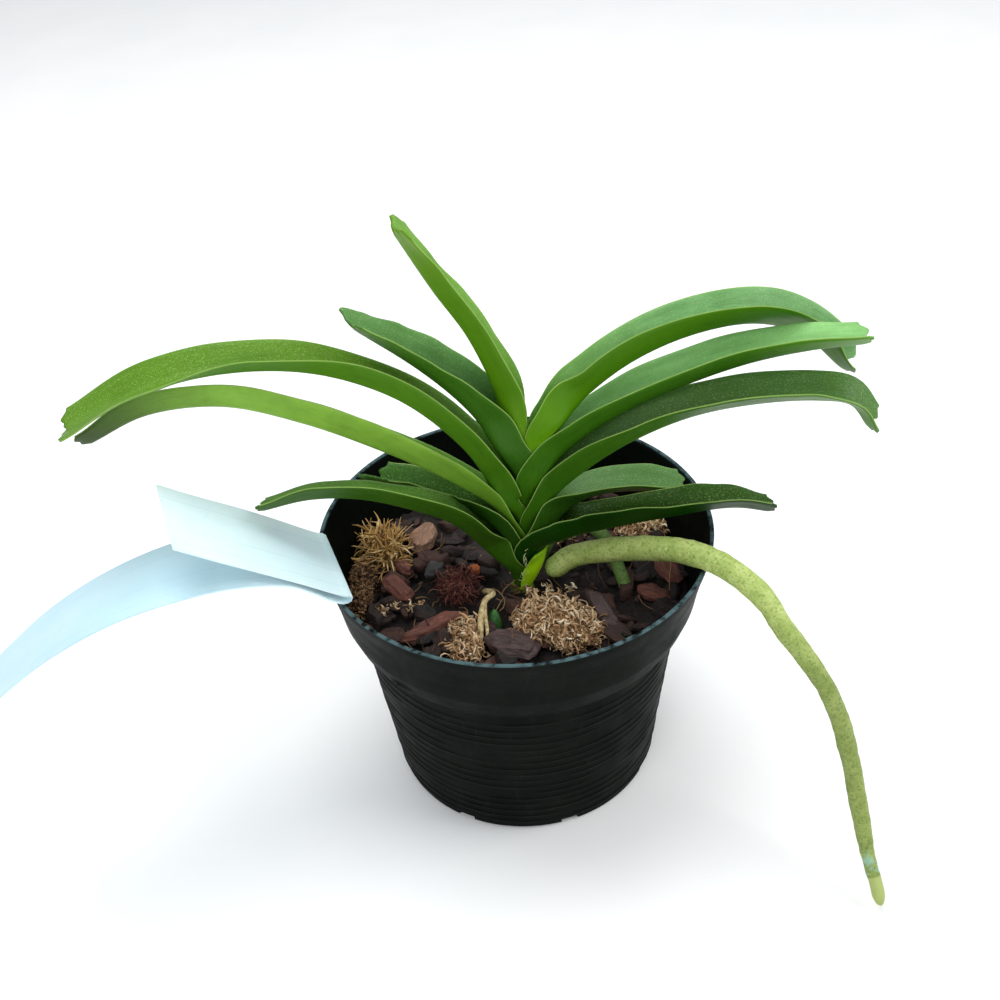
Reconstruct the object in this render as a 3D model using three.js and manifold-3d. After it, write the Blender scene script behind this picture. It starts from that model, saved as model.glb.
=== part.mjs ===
// Potted Vanda tessellata: a young strap-leaved orchid in a thin plastic nursery pot.
// Millimetres, +Z up. The origin is the middle of the pot's flat underside.
// +X is the side that the long aerial root hangs over, -Y is the front.
import * as THREE from 'three';
import * as BufferGeometryUtils from 'three/addons/utils/BufferGeometryUtils.js';
import Module from 'manifold-3d';

// Driving dimensions of the pot
const RIM_RADIUS = 52.5;
const POT_HEIGHT = 78.8;
const BASE_RADIUS = 38.2;
const BAND_HEIGHT = 52.2;
const BAND_RADIUS = 43.8;
const WALL = 1.2;
const FLOOR_THICKNESS = 1.6;
const POT_SIDES = 42;
const HANGING_HOLES = 3;
const HANGING_HOLE_HEIGHT = 56.5;
const HANGING_HOLE_SIZE = [4, 2.6];
const FIRST_HANGING_HOLE = -132;
const DRAIN_NOTCHES = 8;
const DRAIN_NOTCH_SIZE = [9, 5, 4.4];
const FIRST_DRAIN_NOTCH = 15.5;
const DRAIN_HOLES = 6;
const DRAIN_HOLE_RADIUS = 4;
const DRAIN_HOLE_CIRCLE = 20;

// Driving dimensions of the medium
const MEDIUM_HEIGHT = 59.3;
const SEAT = 0.3;

// Driving dimensions of the plant
const STEM_LEAN = 0.055;
const STEM_BASE_HEIGHT = 61;
const STEM_BASE_X = 1.4;
const FAN_Y = -2.4;
const SHEATH_RADIUS = 2.3;
const SHEATH_SPACING = 0.88;
const SHEATH_WIDENING = 1.02;
const STEM_RADIUS = 1.7;
const STEM_FOOT_RADIUS = 3.3;
const BLADE_THICKNESS = 0.75;
const SHEATH_THICKNESS = 0.6;
const KEEL_RADIUS = 1.3;
const CLASP_FADE = 11;
const LEAF_CLEARANCE = 0.06;

// Heights at which the leaves leave the stem, from the lowest and outermost to the youngest
const NODE_HEIGHTS = [60.5, 62, 65, 68, 71, 74, 77.5, 81.5, 86.5, 92, 98, 104, 109];

const wasm = await Module();
wasm.setup();

// Flat colour and roughness of each kind of surface
const COLOURS = {
  pot: { color: 0x1c1f1d, roughness: 0.5, metalness: 0 },
  leaf: { color: 0x3c7a0c, roughness: 0.42, metalness: 0 },
  youngLeaf: { color: 0x5f9a10, roughness: 0.42, metalness: 0 },
  darkLeaf: { color: 0x2c6414, roughness: 0.42, metalness: 0 },
  root: { color: 0xa9b85f, roughness: 0.7, metalness: 0 },
  greenRoot: { color: 0x5f9030, roughness: 0.6, metalness: 0 },
  shoot: { color: 0x2f5a22, roughness: 0.6, metalness: 0 },
  bark: { color: 0x2c1d18, roughness: 0.85, metalness: 0 },
  redBark: { color: 0x6b3424, roughness: 0.8, metalness: 0 },
  purpleBark: { color: 0x4b3434, roughness: 0.6, metalness: 0 },
  tanBark: { color: 0x9a6f4c, roughness: 0.8, metalness: 0 },
  greyBark: { color: 0x3d3a36, roughness: 0.85, metalness: 0 },
  moss: { color: 0xa98345, roughness: 0.95, metalness: 0 },
  brownMoss: { color: 0x6d4a2a, roughness: 0.95, metalness: 0 },
  straw: { color: 0xd0c08a, roughness: 0.8, metalness: 0 },
  label: { color: 0xe3f6fb, roughness: 0.5, metalness: 0 },
};

const object = new THREE.Group();

function addPiece(name, geometry, finish) {
  const mesh = new THREE.Mesh(geometry, new THREE.MeshStandardMaterial(COLOURS[finish]));
  mesh.name = name;
  object.add(mesh);
  return mesh;
}

// Small numeric helpers
function mix(a, b, t) {
  return a + (b - a) * t;
}

function smooth(from, to, value) {
  const t = Math.min(1, Math.max(0, (value - from) / (to - from)));
  return t * t * (3 - 2 * t);
}

// Value at fraction t of a list of evenly spaced keys
function keyed(keys, t) {
  const place = Math.min(0.99999, Math.max(0, t)) * (keys.length - 1);
  const index = Math.floor(place);
  return mix(keys[index], keys[index + 1], smooth(0, 1, place - index));
}

// Seeded random numbers, so that the chips fall the same way every time
function randomSource(seed) {
  let state = seed >>> 0;
  return () => {
    state = (Math.imul(state, 1664525) + 1013904223) >>> 0;
    return state / 4294967296;
  };
}

// Geometry and boolean helpers
function geometryFrom(points, faces) {
  const geometry = new THREE.BufferGeometry();
  geometry.setAttribute('position', new THREE.Float32BufferAttribute(points.flat(), 3));
  geometry.setIndex(faces.flat());
  geometry.computeVertexNormals();
  return geometry;
}

function toSolid(geometry) {
  const bare = geometry.clone();
  bare.deleteAttribute('normal');
  bare.deleteAttribute('uv');
  const merged = BufferGeometryUtils.mergeVertices(bare, 1e-3);
  return new wasm.Manifold(new wasm.Mesh({
    numProp: 3,
    vertProperties: new Float32Array(merged.attributes.position.array),
    triVerts: new Uint32Array(merged.index.array),
  }));
}

function toGeometry(solid) {
  const mesh = solid.getMesh();
  const geometry = new THREE.BufferGeometry();
  const positions = new Float32Array(mesh.numVert * 3);
  for (let i = 0; i < mesh.numVert; i += 1) {
    for (let axis = 0; axis < 3; axis += 1) {
      positions[i * 3 + axis] = mesh.vertProperties[i * mesh.numProp + axis];
    }
  }
  geometry.setAttribute('position', new THREE.BufferAttribute(positions, 3));
  geometry.setIndex(Array.from(mesh.triVerts));
  geometry.computeVertexNormals();
  return geometry;
}

// A closed tube or lump through rings of points, each ring going round the same way
function loft(rings) {
  const points = [];
  const faces = [];
  const sides = rings[0].length;
  for (const ring of rings) {
    for (const point of ring) points.push([point.x, point.y, point.z]);
  }
  for (let i = 0; i < rings.length - 1; i += 1) {
    for (let j = 0; j < sides; j += 1) {
      const a = i * sides + j;
      const b = i * sides + ((j + 1) % sides);
      faces.push([a, b, b + sides], [a, b + sides, a + sides]);
    }
  }
  const caps = [[0, true], [rings.length - 1, false]];
  for (const [index, first] of caps) {
    const middle = rings[index].reduce((sum, p) => sum.clone().add(p), new THREE.Vector3());
    middle.divideScalar(sides);
    const centre = points.length;
    points.push([middle.x, middle.y, middle.z]);
    for (let j = 0; j < sides; j += 1) {
      const a = index * sides + j;
      const b = index * sides + ((j + 1) % sides);
      faces.push(first ? [centre, b, a] : [centre, a, b]);
    }
  }
  return geometryFrom(points, faces);
}

// A closed sheet of the given thickness about a grid of middle points.
// Both faces are split into triangles alike, so a waved sheet never crosses itself.
function sheet(grid, thicknessAt) {
  const rows = grid.length;
  const columns = grid[0].length;
  const points = [];
  const faces = [];
  for (const side of [1, -1]) {
    for (let i = 0; i < rows; i += 1) {
      for (let j = 0; j < columns; j += 1) {
        const along = grid[Math.min(rows - 1, i + 1)][j].clone().sub(grid[Math.max(0, i - 1)][j]);
        const across = grid[i][Math.min(columns - 1, j + 1)].clone();
        across.sub(grid[i][Math.max(0, j - 1)]);
        const normal = along.cross(across).normalize();
        const half = side * thicknessAt(i, j) * 0.5;
        const point = grid[i][j].clone().addScaledVector(normal, half);
        points.push([point.x, point.y, point.z]);
      }
    }
  }
  const back = rows * columns;
  const at = (i, j) => i * columns + j;
  for (let i = 0; i < rows - 1; i += 1) {
    for (let j = 0; j < columns - 1; j += 1) {
      const corners = [at(i, j), at(i + 1, j), at(i + 1, j + 1), at(i, j + 1)];
      const [a, b, c, d] = corners;
      faces.push([a, b, c], [a, c, d]);
      faces.push([back + a, back + c, back + b], [back + a, back + d, back + c]);
    }
  }
  const border = [];
  for (let j = 0; j < columns - 1; j += 1) border.push([at(0, j), at(0, j + 1)]);
  for (let i = 0; i < rows - 1; i += 1) border.push([at(i, columns - 1), at(i + 1, columns - 1)]);
  for (let j = columns - 1; j > 0; j -= 1) border.push([at(rows - 1, j), at(rows - 1, j - 1)]);
  for (let i = rows - 1; i > 0; i -= 1) border.push([at(i, 0), at(i - 1, 0)]);
  for (const [a, b] of border) {
    faces.push([a, b, back + b], [a, back + b, back + a]);
  }
  return geometryFrom(points, faces);
}

const END_NARROWING = 0.45;
const END_REACH = 0.6;

// A tube of changing radius along a smooth curve, with both ends rounded
function tube(path, radii, steps, sides) {
  const points = path.map((point) => new THREE.Vector3(...point));
  const curve = new THREE.CatmullRomCurve3(points, false, 'centripetal');
  const frames = curve.computeFrenetFrames(steps, false);
  const rings = [];
  for (let i = 0; i <= steps; i += 1) {
    const t = i / steps;
    const radius = keyed(radii, t);
    const centre = curve.getPointAt(t);
    const ring = [];
    for (let j = 0; j < sides; j += 1) {
      const angle = (j / sides) * Math.PI * 2;
      const point = centre.clone();
      point.addScaledVector(frames.normals[i], radius * Math.cos(angle));
      point.addScaledVector(frames.binormals[i], radius * Math.sin(angle));
      ring.push(point);
    }
    rings.push(ring);
  }
  for (const [i, way] of [[0, -1], [steps, 1]]) {
    const centre = curve.getPointAt(i / steps);
    const radius = keyed(radii, i / steps);
    const ring = rings[i === 0 ? 0 : rings.length - 1].map((p) => {
      const point = p.clone().lerp(centre, END_NARROWING);
      return point.addScaledVector(frames.tangents[i], way * radius * END_REACH);
    });
    if (i === 0) rings.unshift(ring);
    else rings.push(ring);
  }
  return loft(rings);
}

// Pot: smooth band that flares to the rim, tapered body below it
const POT_OUTSIDE = [
  [BASE_RADIUS - 0.8, 0],
  [BASE_RADIUS, 0.9],
  [BAND_RADIUS, BAND_HEIGHT],
  [47.0, 56.3],
  [48.8, 61.5],
  [49.7, 67],
  [50.9, 72.5],
  [52.0, 76.4],
  [RIM_RADIUS, POT_HEIGHT],
];

function potOutsideRadius(height) {
  for (let i = 1; i < POT_OUTSIDE.length; i += 1) {
    const [r0, z0] = POT_OUTSIDE[i - 1];
    const [r1, z1] = POT_OUTSIDE[i];
    if (height <= z1) return mix(r0, r1, (height - z0) / (z1 - z0));
  }
  return RIM_RADIUS;
}

function makePot() {
  const profile = POT_OUTSIDE.map(([r, z]) => new THREE.Vector2(r, z));
  profile.unshift(new THREE.Vector2(0, 0));
  const inside = POT_OUTSIDE.slice(1).reverse().map(([r, z]) => new THREE.Vector2(r - WALL, z));
  inside[inside.length - 1].y = FLOOR_THICKNESS;
  profile.push(...inside, new THREE.Vector2(0, FLOOR_THICKNESS));
  const shell = new THREE.LatheGeometry(profile, POT_SIDES);
  shell.rotateX(Math.PI / 2);
  let pot = toSolid(shell);
  for (let i = 0; i < HANGING_HOLES; i += 1) {
    const punch = new THREE.CylinderGeometry(0.5, 0.5, 12, 12);
    punch.scale(HANGING_HOLE_SIZE[0], 1, HANGING_HOLE_SIZE[1]);
    punch.rotateZ(Math.PI / 2);
    punch.rotateX(Math.PI / 2);
    punch.translate(potOutsideRadius(HANGING_HOLE_HEIGHT), 0, HANGING_HOLE_HEIGHT);
    punch.rotateZ(THREE.MathUtils.degToRad(FIRST_HANGING_HOLE + (i * 360) / HANGING_HOLES));
    pot = pot.subtract(toSolid(punch));
  }
  for (let i = 0; i < DRAIN_NOTCHES; i += 1) {
    const notch = new THREE.BoxGeometry(...DRAIN_NOTCH_SIZE);
    notch.translate(BASE_RADIUS, 0, 0);
    notch.rotateZ(THREE.MathUtils.degToRad(FIRST_DRAIN_NOTCH + (i * 360) / DRAIN_NOTCHES));
    pot = pot.subtract(toSolid(notch));
  }
  for (let i = 0; i < DRAIN_HOLES; i += 1) {
    const hole = new THREE.CylinderGeometry(DRAIN_HOLE_RADIUS, DRAIN_HOLE_RADIUS, 8, 12);
    hole.rotateX(Math.PI / 2);
    hole.translate(DRAIN_HOLE_CIRCLE, 0, 0);
    hole.rotateZ((i / DRAIN_HOLES) * Math.PI * 2);
    pot = pot.subtract(toSolid(hole));
  }
  return toGeometry(pot);
}

// The stem's axis leans a little towards +X
function axisX(height) {
  return STEM_BASE_X + STEM_LEAN * (height - STEM_BASE_HEIGHT);
}

// How many leaf bases have left the stem below this height, with parts of one between
function nodeCount(height) {
  for (let i = 1; i < NODE_HEIGHTS.length; i += 1) {
    if (height <= NODE_HEIGHTS[i]) {
      return i - 1 + (height - NODE_HEIGHTS[i - 1]) / (NODE_HEIGHTS[i] - NODE_HEIGHTS[i - 1]);
    }
  }
  const last = NODE_HEIGHTS.length - 1;
  return last + (height - NODE_HEIGHTS[last]) / 5;
}

// Half depth of a leaf's sheath at a height: each older leaf wraps the younger ones
function sheathDepth(node, height) {
  return SHEATH_RADIUS + SHEATH_SPACING * Math.max(0, nodeCount(height) - node);
}

// Leaves. node counts from the lowest; rank is -1 for the left row and 1 for the right row.
// sheath is the height over which the leaf hugs the stem, clasp the length before it opens.
// path holds points of the keel's outer edge from the sheath out to the notch of the tip.
// folds are the angles of each half from the leaf's own middle plane, rolls turn the
// channel towards the front, and lobes are how far the near and far tip lobes reach on.
// flare widens each half near the base: by how much, how far past the clasp, and the length
// over which it fades; farFlare is the far half's share of it where that isn't the whole.
const LEAVES = [
  {
    name: 'leaf_left_1', node: 11, rank: -1, sheath: 3, clasp: 10, width: [7.6, 8, 7.8, 7.7, 7.6, 7.1],
    folds: [40, 46, 48, 50, 56, 66], rolls: [0, -3, -5, -9, -13, -12],
    path: [[-1.8, -2.3, 112], [-2.8, -2, 121], [-8.5, -1, 137], [-16, -0.3, 150], [-23, 0.9, 163.2]],
    flare: [1.5, -4, 26], lobes: [2, 3.6], finish: 'youngLeaf',
  },
  {
    name: 'leaf_left_2', node: 9, rank: -1, sheath: 6, clasp: 13, width: [8.6, 9.4, 9.5, 9, 8.5, 7.4],
    folds: [32, 30, 34, 46, 56, 66], rolls: [0, 2, 4, 0, -8, -12],
    path: [[-3.6, -2.2, 106], [-10.5, -1.5, 118], [-20, 0.5, 127.5], [-35.2, 2.8, 139]],
    flare: [2.5, -4, 26], lobes: [1, 5.5], finish: 'leaf',
  },
  {
    name: 'leaf_left_3', node: 7, rank: -1, sheath: 4, clasp: 9, width: [7.6, 8.4, 8.4, 7.9, 7.7, 6.6],
    folds: [40, 47, 48, 50, 60, 74], rolls: [0, -12, -21, -4, 8, 8],
    path: [[-3.9, -2.3, 89], [-7, -2.2, 97], [-12.5, -2, 107], [-27, -2, 122], [-47, -2, 131],
      [-68, -3, 133], [-89, -4, 129], [-106.5, -4, 120.6]],
    flare: [2, 2, 16], lobes: [0.8, 1.8], finish: 'leaf',
  },
  {
    name: 'leaf_left_4', node: 5, rank: -1, sheath: 6, clasp: 7, width: [6, 7.6, 8.1, 8, 7.6, 6.4],
    folds: [50, 46, 46, 48, 50, 58], rolls: [-8, -26, -31, -33, -30, -20],
    path: [[-4.2, -2.3, 86], [-17, -2, 97], [-34, -2, 108], [-51, -2, 117], [-69, -1, 122.5],
      [-88, 0, 121], [-104.2, 1, 113.2]],
    flare: [0, 0, 10], lobes: [1, 2], finish: 'youngLeaf',
  },
  {
    name: 'leaf_left_5', node: 3, rank: -1, sheath: 7, clasp: 10, width: [7.2, 8.2, 8.3, 8, 7.6, 6.6],
    folds: [30, 34, 35, 34, 36, 44], rolls: [0, 1, 2, 0, -3, -4],
    path: [[-6, -1.8, 82], [-14, 2.8, 83.5], [-24.6, 7, 84.9], [-35, 9.4, 88.1]],
    flare: [1, 2, 26], lobes: [6.5, 1.5], finish: 'darkLeaf',
  },
  {
    name: 'leaf_left_6', node: 1, rank: -1, sheath: 4, clasp: 8.5, width: [7, 7.2, 7, 7.2, 7.2, 5.2],
    folds: [36, 38, 46, 56, 62, 68], rolls: [0, -12, -24, -28, -30, -25],
    path: [[-8.5, -3, 74], [-16.3, -7, 86.3], [-27, -10.4, 94.8], [-39, -11.4, 99.6], [-51, -10.8, 99.8],
      [-62.2, -11.2, 97.8]],
    flare: [2, 6, 12], lobes: [1, 1], finish: 'leaf',
  },
  {
    name: 'leaf_right_1', node: 10, rank: 1, sheath: 4, clasp: 15, width: [8, 9, 9, 9, 9, 7.6],
    folds: [34, 36, 36, 40, 42, 40], rolls: [0, -9, -7, -5, 0, 24],
    path: [[11.6, -2.2, 110], [19, -1, 118], [31, 0, 127], [45.2, 3, 131.4], [60.6, 6.6, 131.5],
      [74.9, 12.5, 124.2], [86.2, 14.5, 113.1]],
    flare: [4, 4, 12], farFlare: 0.3, lobes: [1.5, 2.5], finish: 'youngLeaf',
  },
  {
    name: 'leaf_right_2', node: 8, rank: 1, sheath: 5, clasp: 9.5, width: [8, 8.9, 9, 9, 8.5, 7],
    folds: [38, 45, 46, 48, 54, 60], rolls: [0, -14, -8, -11, -13, -12],
    path: [[10.4, -2.2, 99], [20, -2, 108], [32, -2, 115.5], [45, -2, 121], [59, -2.2, 125.6],
      [73, -3, 128.5], [86, -3, 129.3]],
    flare: [2.5, 2, 16], lobes: [0.8, 1.8], finish: 'leaf',
  },
  {
    name: 'leaf_right_3', node: 6, rank: 1, sheath: 5, clasp: 7.5, width: [7.6, 8, 8.1, 8, 7.9, 6.2],
    folds: [34, 34, 42, 52, 54, 58], rolls: [0, -14, -5, -7, -4, 14],
    path: [[9.3, -2.5, 88], [19, -3, 97.5], [31, -4, 106.6], [45, -5, 113.2], [60, -7, 117],
      [75, -8, 117.5], [82.5, -8.7, 116.2], [87, -9.4, 110.4]],
    flare: [1, 8, 12], lobes: [1, 1.5], finish: 'leaf',
  },
  {
    name: 'leaf_right_4', node: 4, rank: 1, sheath: 4, clasp: 7.5, width: [7.2, 7.8, 8, 8, 7.8, 6.6],
    folds: [36, 50, 60, 58, 56, 58], rolls: [0, -12, -15, -12, -8, -8],
    path: [[11.4, -2, 81.5], [18, -0.5, 86], [28, 1.9, 86.3], [45, 4.6, 82.8]],
    flare: [2.5, 6, 8], lobes: [4.5, 1.5], finish: 'darkLeaf',
  },
  {
    name: 'leaf_right_5', node: 2, rank: 1, sheath: 8.5, clasp: 13, width: [8, 7.7, 7.3, 7, 7.2, 6],
    folds: [28, 27, 24, 34, 54, 60], rolls: [0, -11, -4, 0, -16, -22],
    path: [[8.6, -2.6, 75.7], [12.6, -3, 76.7], [19, -4, 78], [36, -6.5, 83], [56, -9, 87],
      [65, -9.8, 85.6]],
    flare: [5, 2, 8], lobes: [1, 1.5], finish: 'darkLeaf',
  },
  {
    name: 'old_leaf_base', node: 0, rank: 1, sheath: 9, clasp: 30, width: [6.4, 8.2, 8.4],
    folds: [10, 10, 10], rolls: [0, 0, 0],
    path: [[8.3, -2.4, 74.2]],
    flare: [0, 0, 10], lobes: [0, 0], finish: 'youngLeaf',
  },
];

// Places across each half of a leaf as shares of its width, and the tip's outline there
const HALF_FRACTIONS = [0.22, 0.46, 0.72, 1];
const LOBE_SHAPE = [0.6, 1, 0.62, -0.3];
const TIP_ZONE = 11;
const LEAF_STEP = 6.2;
const MARGIN_RISE = 6;
const SHEATH_OVERLAP = 1.1;

const WIDEST_MARGIN = 0.995;
const KEEL_SHARE = 0.62;
const CLASP_GROWTH = [0.3, 1.2];
const HALVINGS = 24;

// Angle of a half section whose margin stands at the wanted depth, found by halving
function foldForDepth(depth, width, radius) {
  let low = 0;
  let high = Math.PI / 2;
  for (let i = 0; i < HALVINGS; i += 1) {
    const angle = (low + high) / 2;
    const arc = radius * (Math.PI / 2 - angle);
    const reached = radius * Math.cos(angle) + (width - arc) * Math.sin(angle);
    if (reached < depth) low = angle;
    else high = angle;
  }
  return (low + high) / 2;
}

// Point of a half section at a distance from the keel: [towards the channel, sideways]
function sectionPoint(distance, fold, radius) {
  const arc = radius * (Math.PI / 2 - fold);
  if (distance < arc) {
    const heading = Math.PI / 2 - distance / radius;
    return [radius * (1 - Math.sin(heading)), radius * Math.cos(heading)];
  }
  const rest = distance - arc;
  return [
    radius * (1 - Math.sin(fold)) + rest * Math.cos(fold),
    radius * Math.cos(fold) + rest * Math.sin(fold),
  ];
}

function leafCurve(leaf) {
  const points = [];
  for (const share of [0, 0.5, 1]) {
    const height = NODE_HEIGHTS[leaf.node] + leaf.sheath * share;
    const reach = SHEATH_WIDENING * sheathDepth(leaf.node, height);
    points.push(new THREE.Vector3(axisX(height) + leaf.rank * reach, FAN_Y, height));
  }
  for (const point of leaf.path) points.push(new THREE.Vector3(...point));
  return new THREE.CatmullRomCurve3(points, false, 'centripetal');
}

// Middle surface of a leaf: rows along it, each from the near margin over the keel to the far one
function leafGrid(leaf) {
  const curve = leafCurve(leaf);
  const length = curve.getLength();
  const steps = Math.max(6, Math.round(length / LEAF_STEP));
  const grid = [];
  for (let i = 0; i <= steps; i += 1) {
    const s = (i / steps) * length;
    const keel = curve.getPointAt(i / steps);
    const tangent = curve.getTangentAt(i / steps);
    const channel = new THREE.Vector3(0, 1, 0).cross(tangent).multiplyScalar(-leaf.rank).normalize();
    const lateral = channel.clone().cross(tangent).normalize();
    if (lateral.y > 0) lateral.negate();
    const blade = Math.max(0, (s - leaf.clasp) / (length - leaf.clasp));
    const opened = smooth(leaf.clasp, leaf.clasp + CLASP_FADE, s);
    const roll = THREE.MathUtils.degToRad(keyed(leaf.rolls, blade)) * opened;
    const up = channel.clone().multiplyScalar(Math.cos(roll)).addScaledVector(lateral, Math.sin(roll));
    const side = lateral.clone().multiplyScalar(Math.cos(roll)).addScaledVector(channel, -Math.sin(roll));
    const depth = sheathDepth(leaf.node, keel.z + channel.z * MARGIN_RISE);
    const hugging = Math.PI * 0.5 * sheathDepth(leaf.node, keel.z) + SHEATH_OVERLAP;
    keel.addScaledVector(channel, 0.5 * BLADE_THICKNESS * opened);
    const bladeWidth = keyed(leaf.width, blade);
    const growth = smooth(CLASP_GROWTH[0] * leaf.clasp, CLASP_GROWTH[1] * leaf.clasp, s);
    const width = mix(Math.min(bladeWidth, hugging), bladeWidth, growth);
    const [extra, beyond, fading] = leaf.flare;
    const widest = leaf.clasp + beyond;
    const flare = extra * smooth(0, widest, s) * (1 - smooth(widest, widest + fading, s));
    const openDepth = width * Math.sin(THREE.MathUtils.degToRad(keyed(leaf.folds, blade)));
    const halfSection = (wide) => {
      const margin = Math.min(mix(depth, openDepth, opened), wide * WIDEST_MARGIN);
      const radius = Math.min(mix(depth, KEEL_RADIUS, opened), wide * KEEL_SHARE);
      return { wide, radius, fold: foldForDepth(margin, wide, radius) };
    };
    const nearSection = halfSection(width + flare);
    const farSection = halfSection(width + flare * (leaf.farFlare ?? 1));
    const tipPull = smooth(length - TIP_ZONE, length, s);
    const pointAt = (half, place) => {
      const { wide, radius, fold } = half > 0 ? nearSection : farSection;
      const [a, b] = sectionPoint(wide * HALF_FRACTIONS[place], fold, radius);
      const point = keel.clone().addScaledVector(up, a).addScaledVector(side, half * b);
      const reach = leaf.lobes[half > 0 ? 0 : 1] * LOBE_SHAPE[place];
      return point.addScaledVector(tangent, tipPull * reach);
    };
    const places = HALF_FRACTIONS.map((fraction, place) => place);
    const near = places.map((place) => pointAt(1, place)).reverse();
    const far = places.map((place) => pointAt(-1, place));
    grid.push([...near, keel, ...far]);
  }
  return { grid, length };
}

// A leaf's solid, thicker by twice the clearance where it serves as a cutter
function leafSolid(leaf, clearance) {
  const { grid, length } = leafGrid(leaf);
  const thickness = (i) => {
    const s = (i / (grid.length - 1)) * length;
    const opened = smooth(leaf.clasp, leaf.clasp + CLASP_FADE, s);
    return mix(SHEATH_THICKNESS, BLADE_THICKNESS, opened) + 2 * clearance;
  };
  return toSolid(outward(sheet(grid, thickness)));
}

// Turns a closed mesh the right way out if its volume comes out negative
function outward(geometry) {
  const position = geometry.attributes.position;
  const index = geometry.index.array;
  const a = new THREE.Vector3();
  const b = new THREE.Vector3();
  const c = new THREE.Vector3();
  let volume = 0;
  for (let i = 0; i < index.length; i += 3) {
    a.fromBufferAttribute(position, index[i]);
    b.fromBufferAttribute(position, index[i + 1]);
    c.fromBufferAttribute(position, index[i + 2]);
    volume += a.dot(b.cross(c)) / 6;
  }
  if (volume < 0) {
    const flipped = Array.from(index);
    for (let i = 0; i < flipped.length; i += 3) {
      [flipped[i], flipped[i + 1]] = [flipped[i + 1], flipped[i]];
    }
    geometry.setIndex(flipped);
    geometry.computeVertexNormals();
  }
  return geometry;
}

// Keeps the biggest body where a cut leaves loose scraps
function biggest(solid) {
  const bodies = solid.decompose();
  bodies.sort((a, b) => b.volume() - a.volume());
  return bodies[0];
}

// What later pieces have to stay clear of
const taken = [];
const SIMPLIFYING = 0.1;

function carve(solid) {
  let result = solid;
  for (const other of taken) result = result.subtract(other);
  return biggest(result.simplify(SIMPLIFYING));
}

// Upright lump of rings about the stem's axis, as [height, radius]
function stemRings(profile, sides) {
  return profile.map(([height, radius]) => {
    const ring = [];
    for (let j = 0; j < sides; j += 1) {
      const angle = (j / sides) * Math.PI * 2;
      const x = axisX(height) + radius * Math.cos(angle);
      ring.push(new THREE.Vector3(x, FAN_Y + radius * Math.sin(angle), height));
    }
    return ring;
  });
}

const STEM_PROFILE = [
  [50, STEM_FOOT_RADIUS - 0.8],
  [57, STEM_FOOT_RADIUS],
  [59.9, STEM_FOOT_RADIUS],
  [60.2, STEM_RADIUS],
  [107, STEM_RADIUS - 0.1],
];
const STEM_HOLE = [
  [49.5, STEM_FOOT_RADIUS + SEAT],
  [60, STEM_FOOT_RADIUS + SEAT],
  [61, 5.4],
  [67, 6.8],
];

// Roots and stalks: middle line by hand, radii as evenly spaced keys
const ROOTS = [
  {
    name: 'aerial_root', finish: 'root', steps: 38, sides: 9,
    path: [[8.5, -2.6, 63.1], [10.7, -2.4, 65.4], [13.4, -2.1, 67.3], [17.3, -2.6, 69.2],
      [23.5, -5, 72], [30, -8.6, 75.2], [37, -13.9, 79], [42.2, -18.4, 81.4], [47.2, -23, 82.4],
      [52, -27.2, 81.9], [57, -32, 79.7], [60.3, -35.6, 76.9], [63, -39.2, 73], [67, -41.6, 68],
      [71, -43.6, 62], [75.1, -45.4, 55], [78.1, -47, 47], [80.4, -49.3, 39], [82.2, -52, 31],
      [84.3, -58, 18.4], [85.6, -62.3, 11.4], [86.8, -66.6, 6.6], [87.6, -71.6, 2.6]],
    radii: [2.1, 2.95, 3.2, 3.25, 3.2, 3.1, 2.9, 2.75, 2.6, 2.4, 2.35, 2.3, 2.3, 2.2, 1.8, 1.6],
  },
  {
    name: 'second_root', finish: 'greenRoot', steps: 18, sides: 8,
    path: [[6.4, 4.2, 62], [10, 6.6, 68], [16, 7.6, 71.4], [21.5, 6.4, 71], [25, 1.6, 69.6],
      [27, -3.6, 66], [28.8, -7.4, 61.4], [29.6, -9, 55]],
    radii: [1.7, 1.8, 1.8, 1.8, 1.8, 1.7],
  },
  {
    name: 'side_shoot', finish: 'shoot', steps: 6, sides: 8,
    path: [[-7.4, -18.2, 55], [-7.2, -17.8, 60], [-6.8, -17, 64.6]],
    radii: [2, 2.1, 1],
  },
  {
    name: 'dry_straw', finish: 'straw', steps: 14, sides: 6,
    path: [[-9.6, -4.6, 60], [-8.6, -7.8, 63], [-7, -11.6, 65.2], [-9, -14.3, 65.6],
      [-10.4, -19.4, 64.6], [-10.8, -24.4, 62.2], [-11, -26.6, 59.6]],
    radii: [0.6, 0.8, 0.8, 0.8, 0.7],
  },
];

// Forked pale rootlet that lies on the moss at the back
const ROOTLETS = [
  { path: [[30.6, 16.4, 62.6], [33.4, 17, 64.6], [36.8, 17.4, 65.2]], radii: [0.7, 0.9] },
  { path: [[36, 17.2, 65.2], [39.6, 16.4, 64.6], [42.4, 17, 62.6]], radii: [0.7, 0.5] },
  { path: [[36, 17.2, 65.2], [39, 14.6, 64.4], [40.4, 12, 62.4]], radii: [0.7, 0.5] },
];

// Label strip: [distance out from the fold, height, lean of its far edge in degrees]
const LABEL_WIDTH = 27;
const LABEL_THICKNESS = 0.6;
const LABEL_HEADING = THREE.MathUtils.degToRad(-71.3);
const LABEL_FOLD = [-47.3, -14.5];
const LABEL_PATH = [
  [36.5, 109.5, 0], [28, 103, 0], [19, 96.4, 0], [10, 89.6, 0], [3, 84, 0], [0.2, 81.9, 0],
  [-1.1, 81.3, 0], [-1.5, 80.5, 0], [-1, 79.8, 0], [0.6, 79.6, 0], [4, 81.6, -1], [8, 85.2, -2],
  [13, 88.9, -3], [25, 92.3, -5], [40, 92.7, -8], [55, 90.3, -12], [70, 84.5, -15],
  [85, 75.3, -18], [97, 67.2, -20],
];

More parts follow.
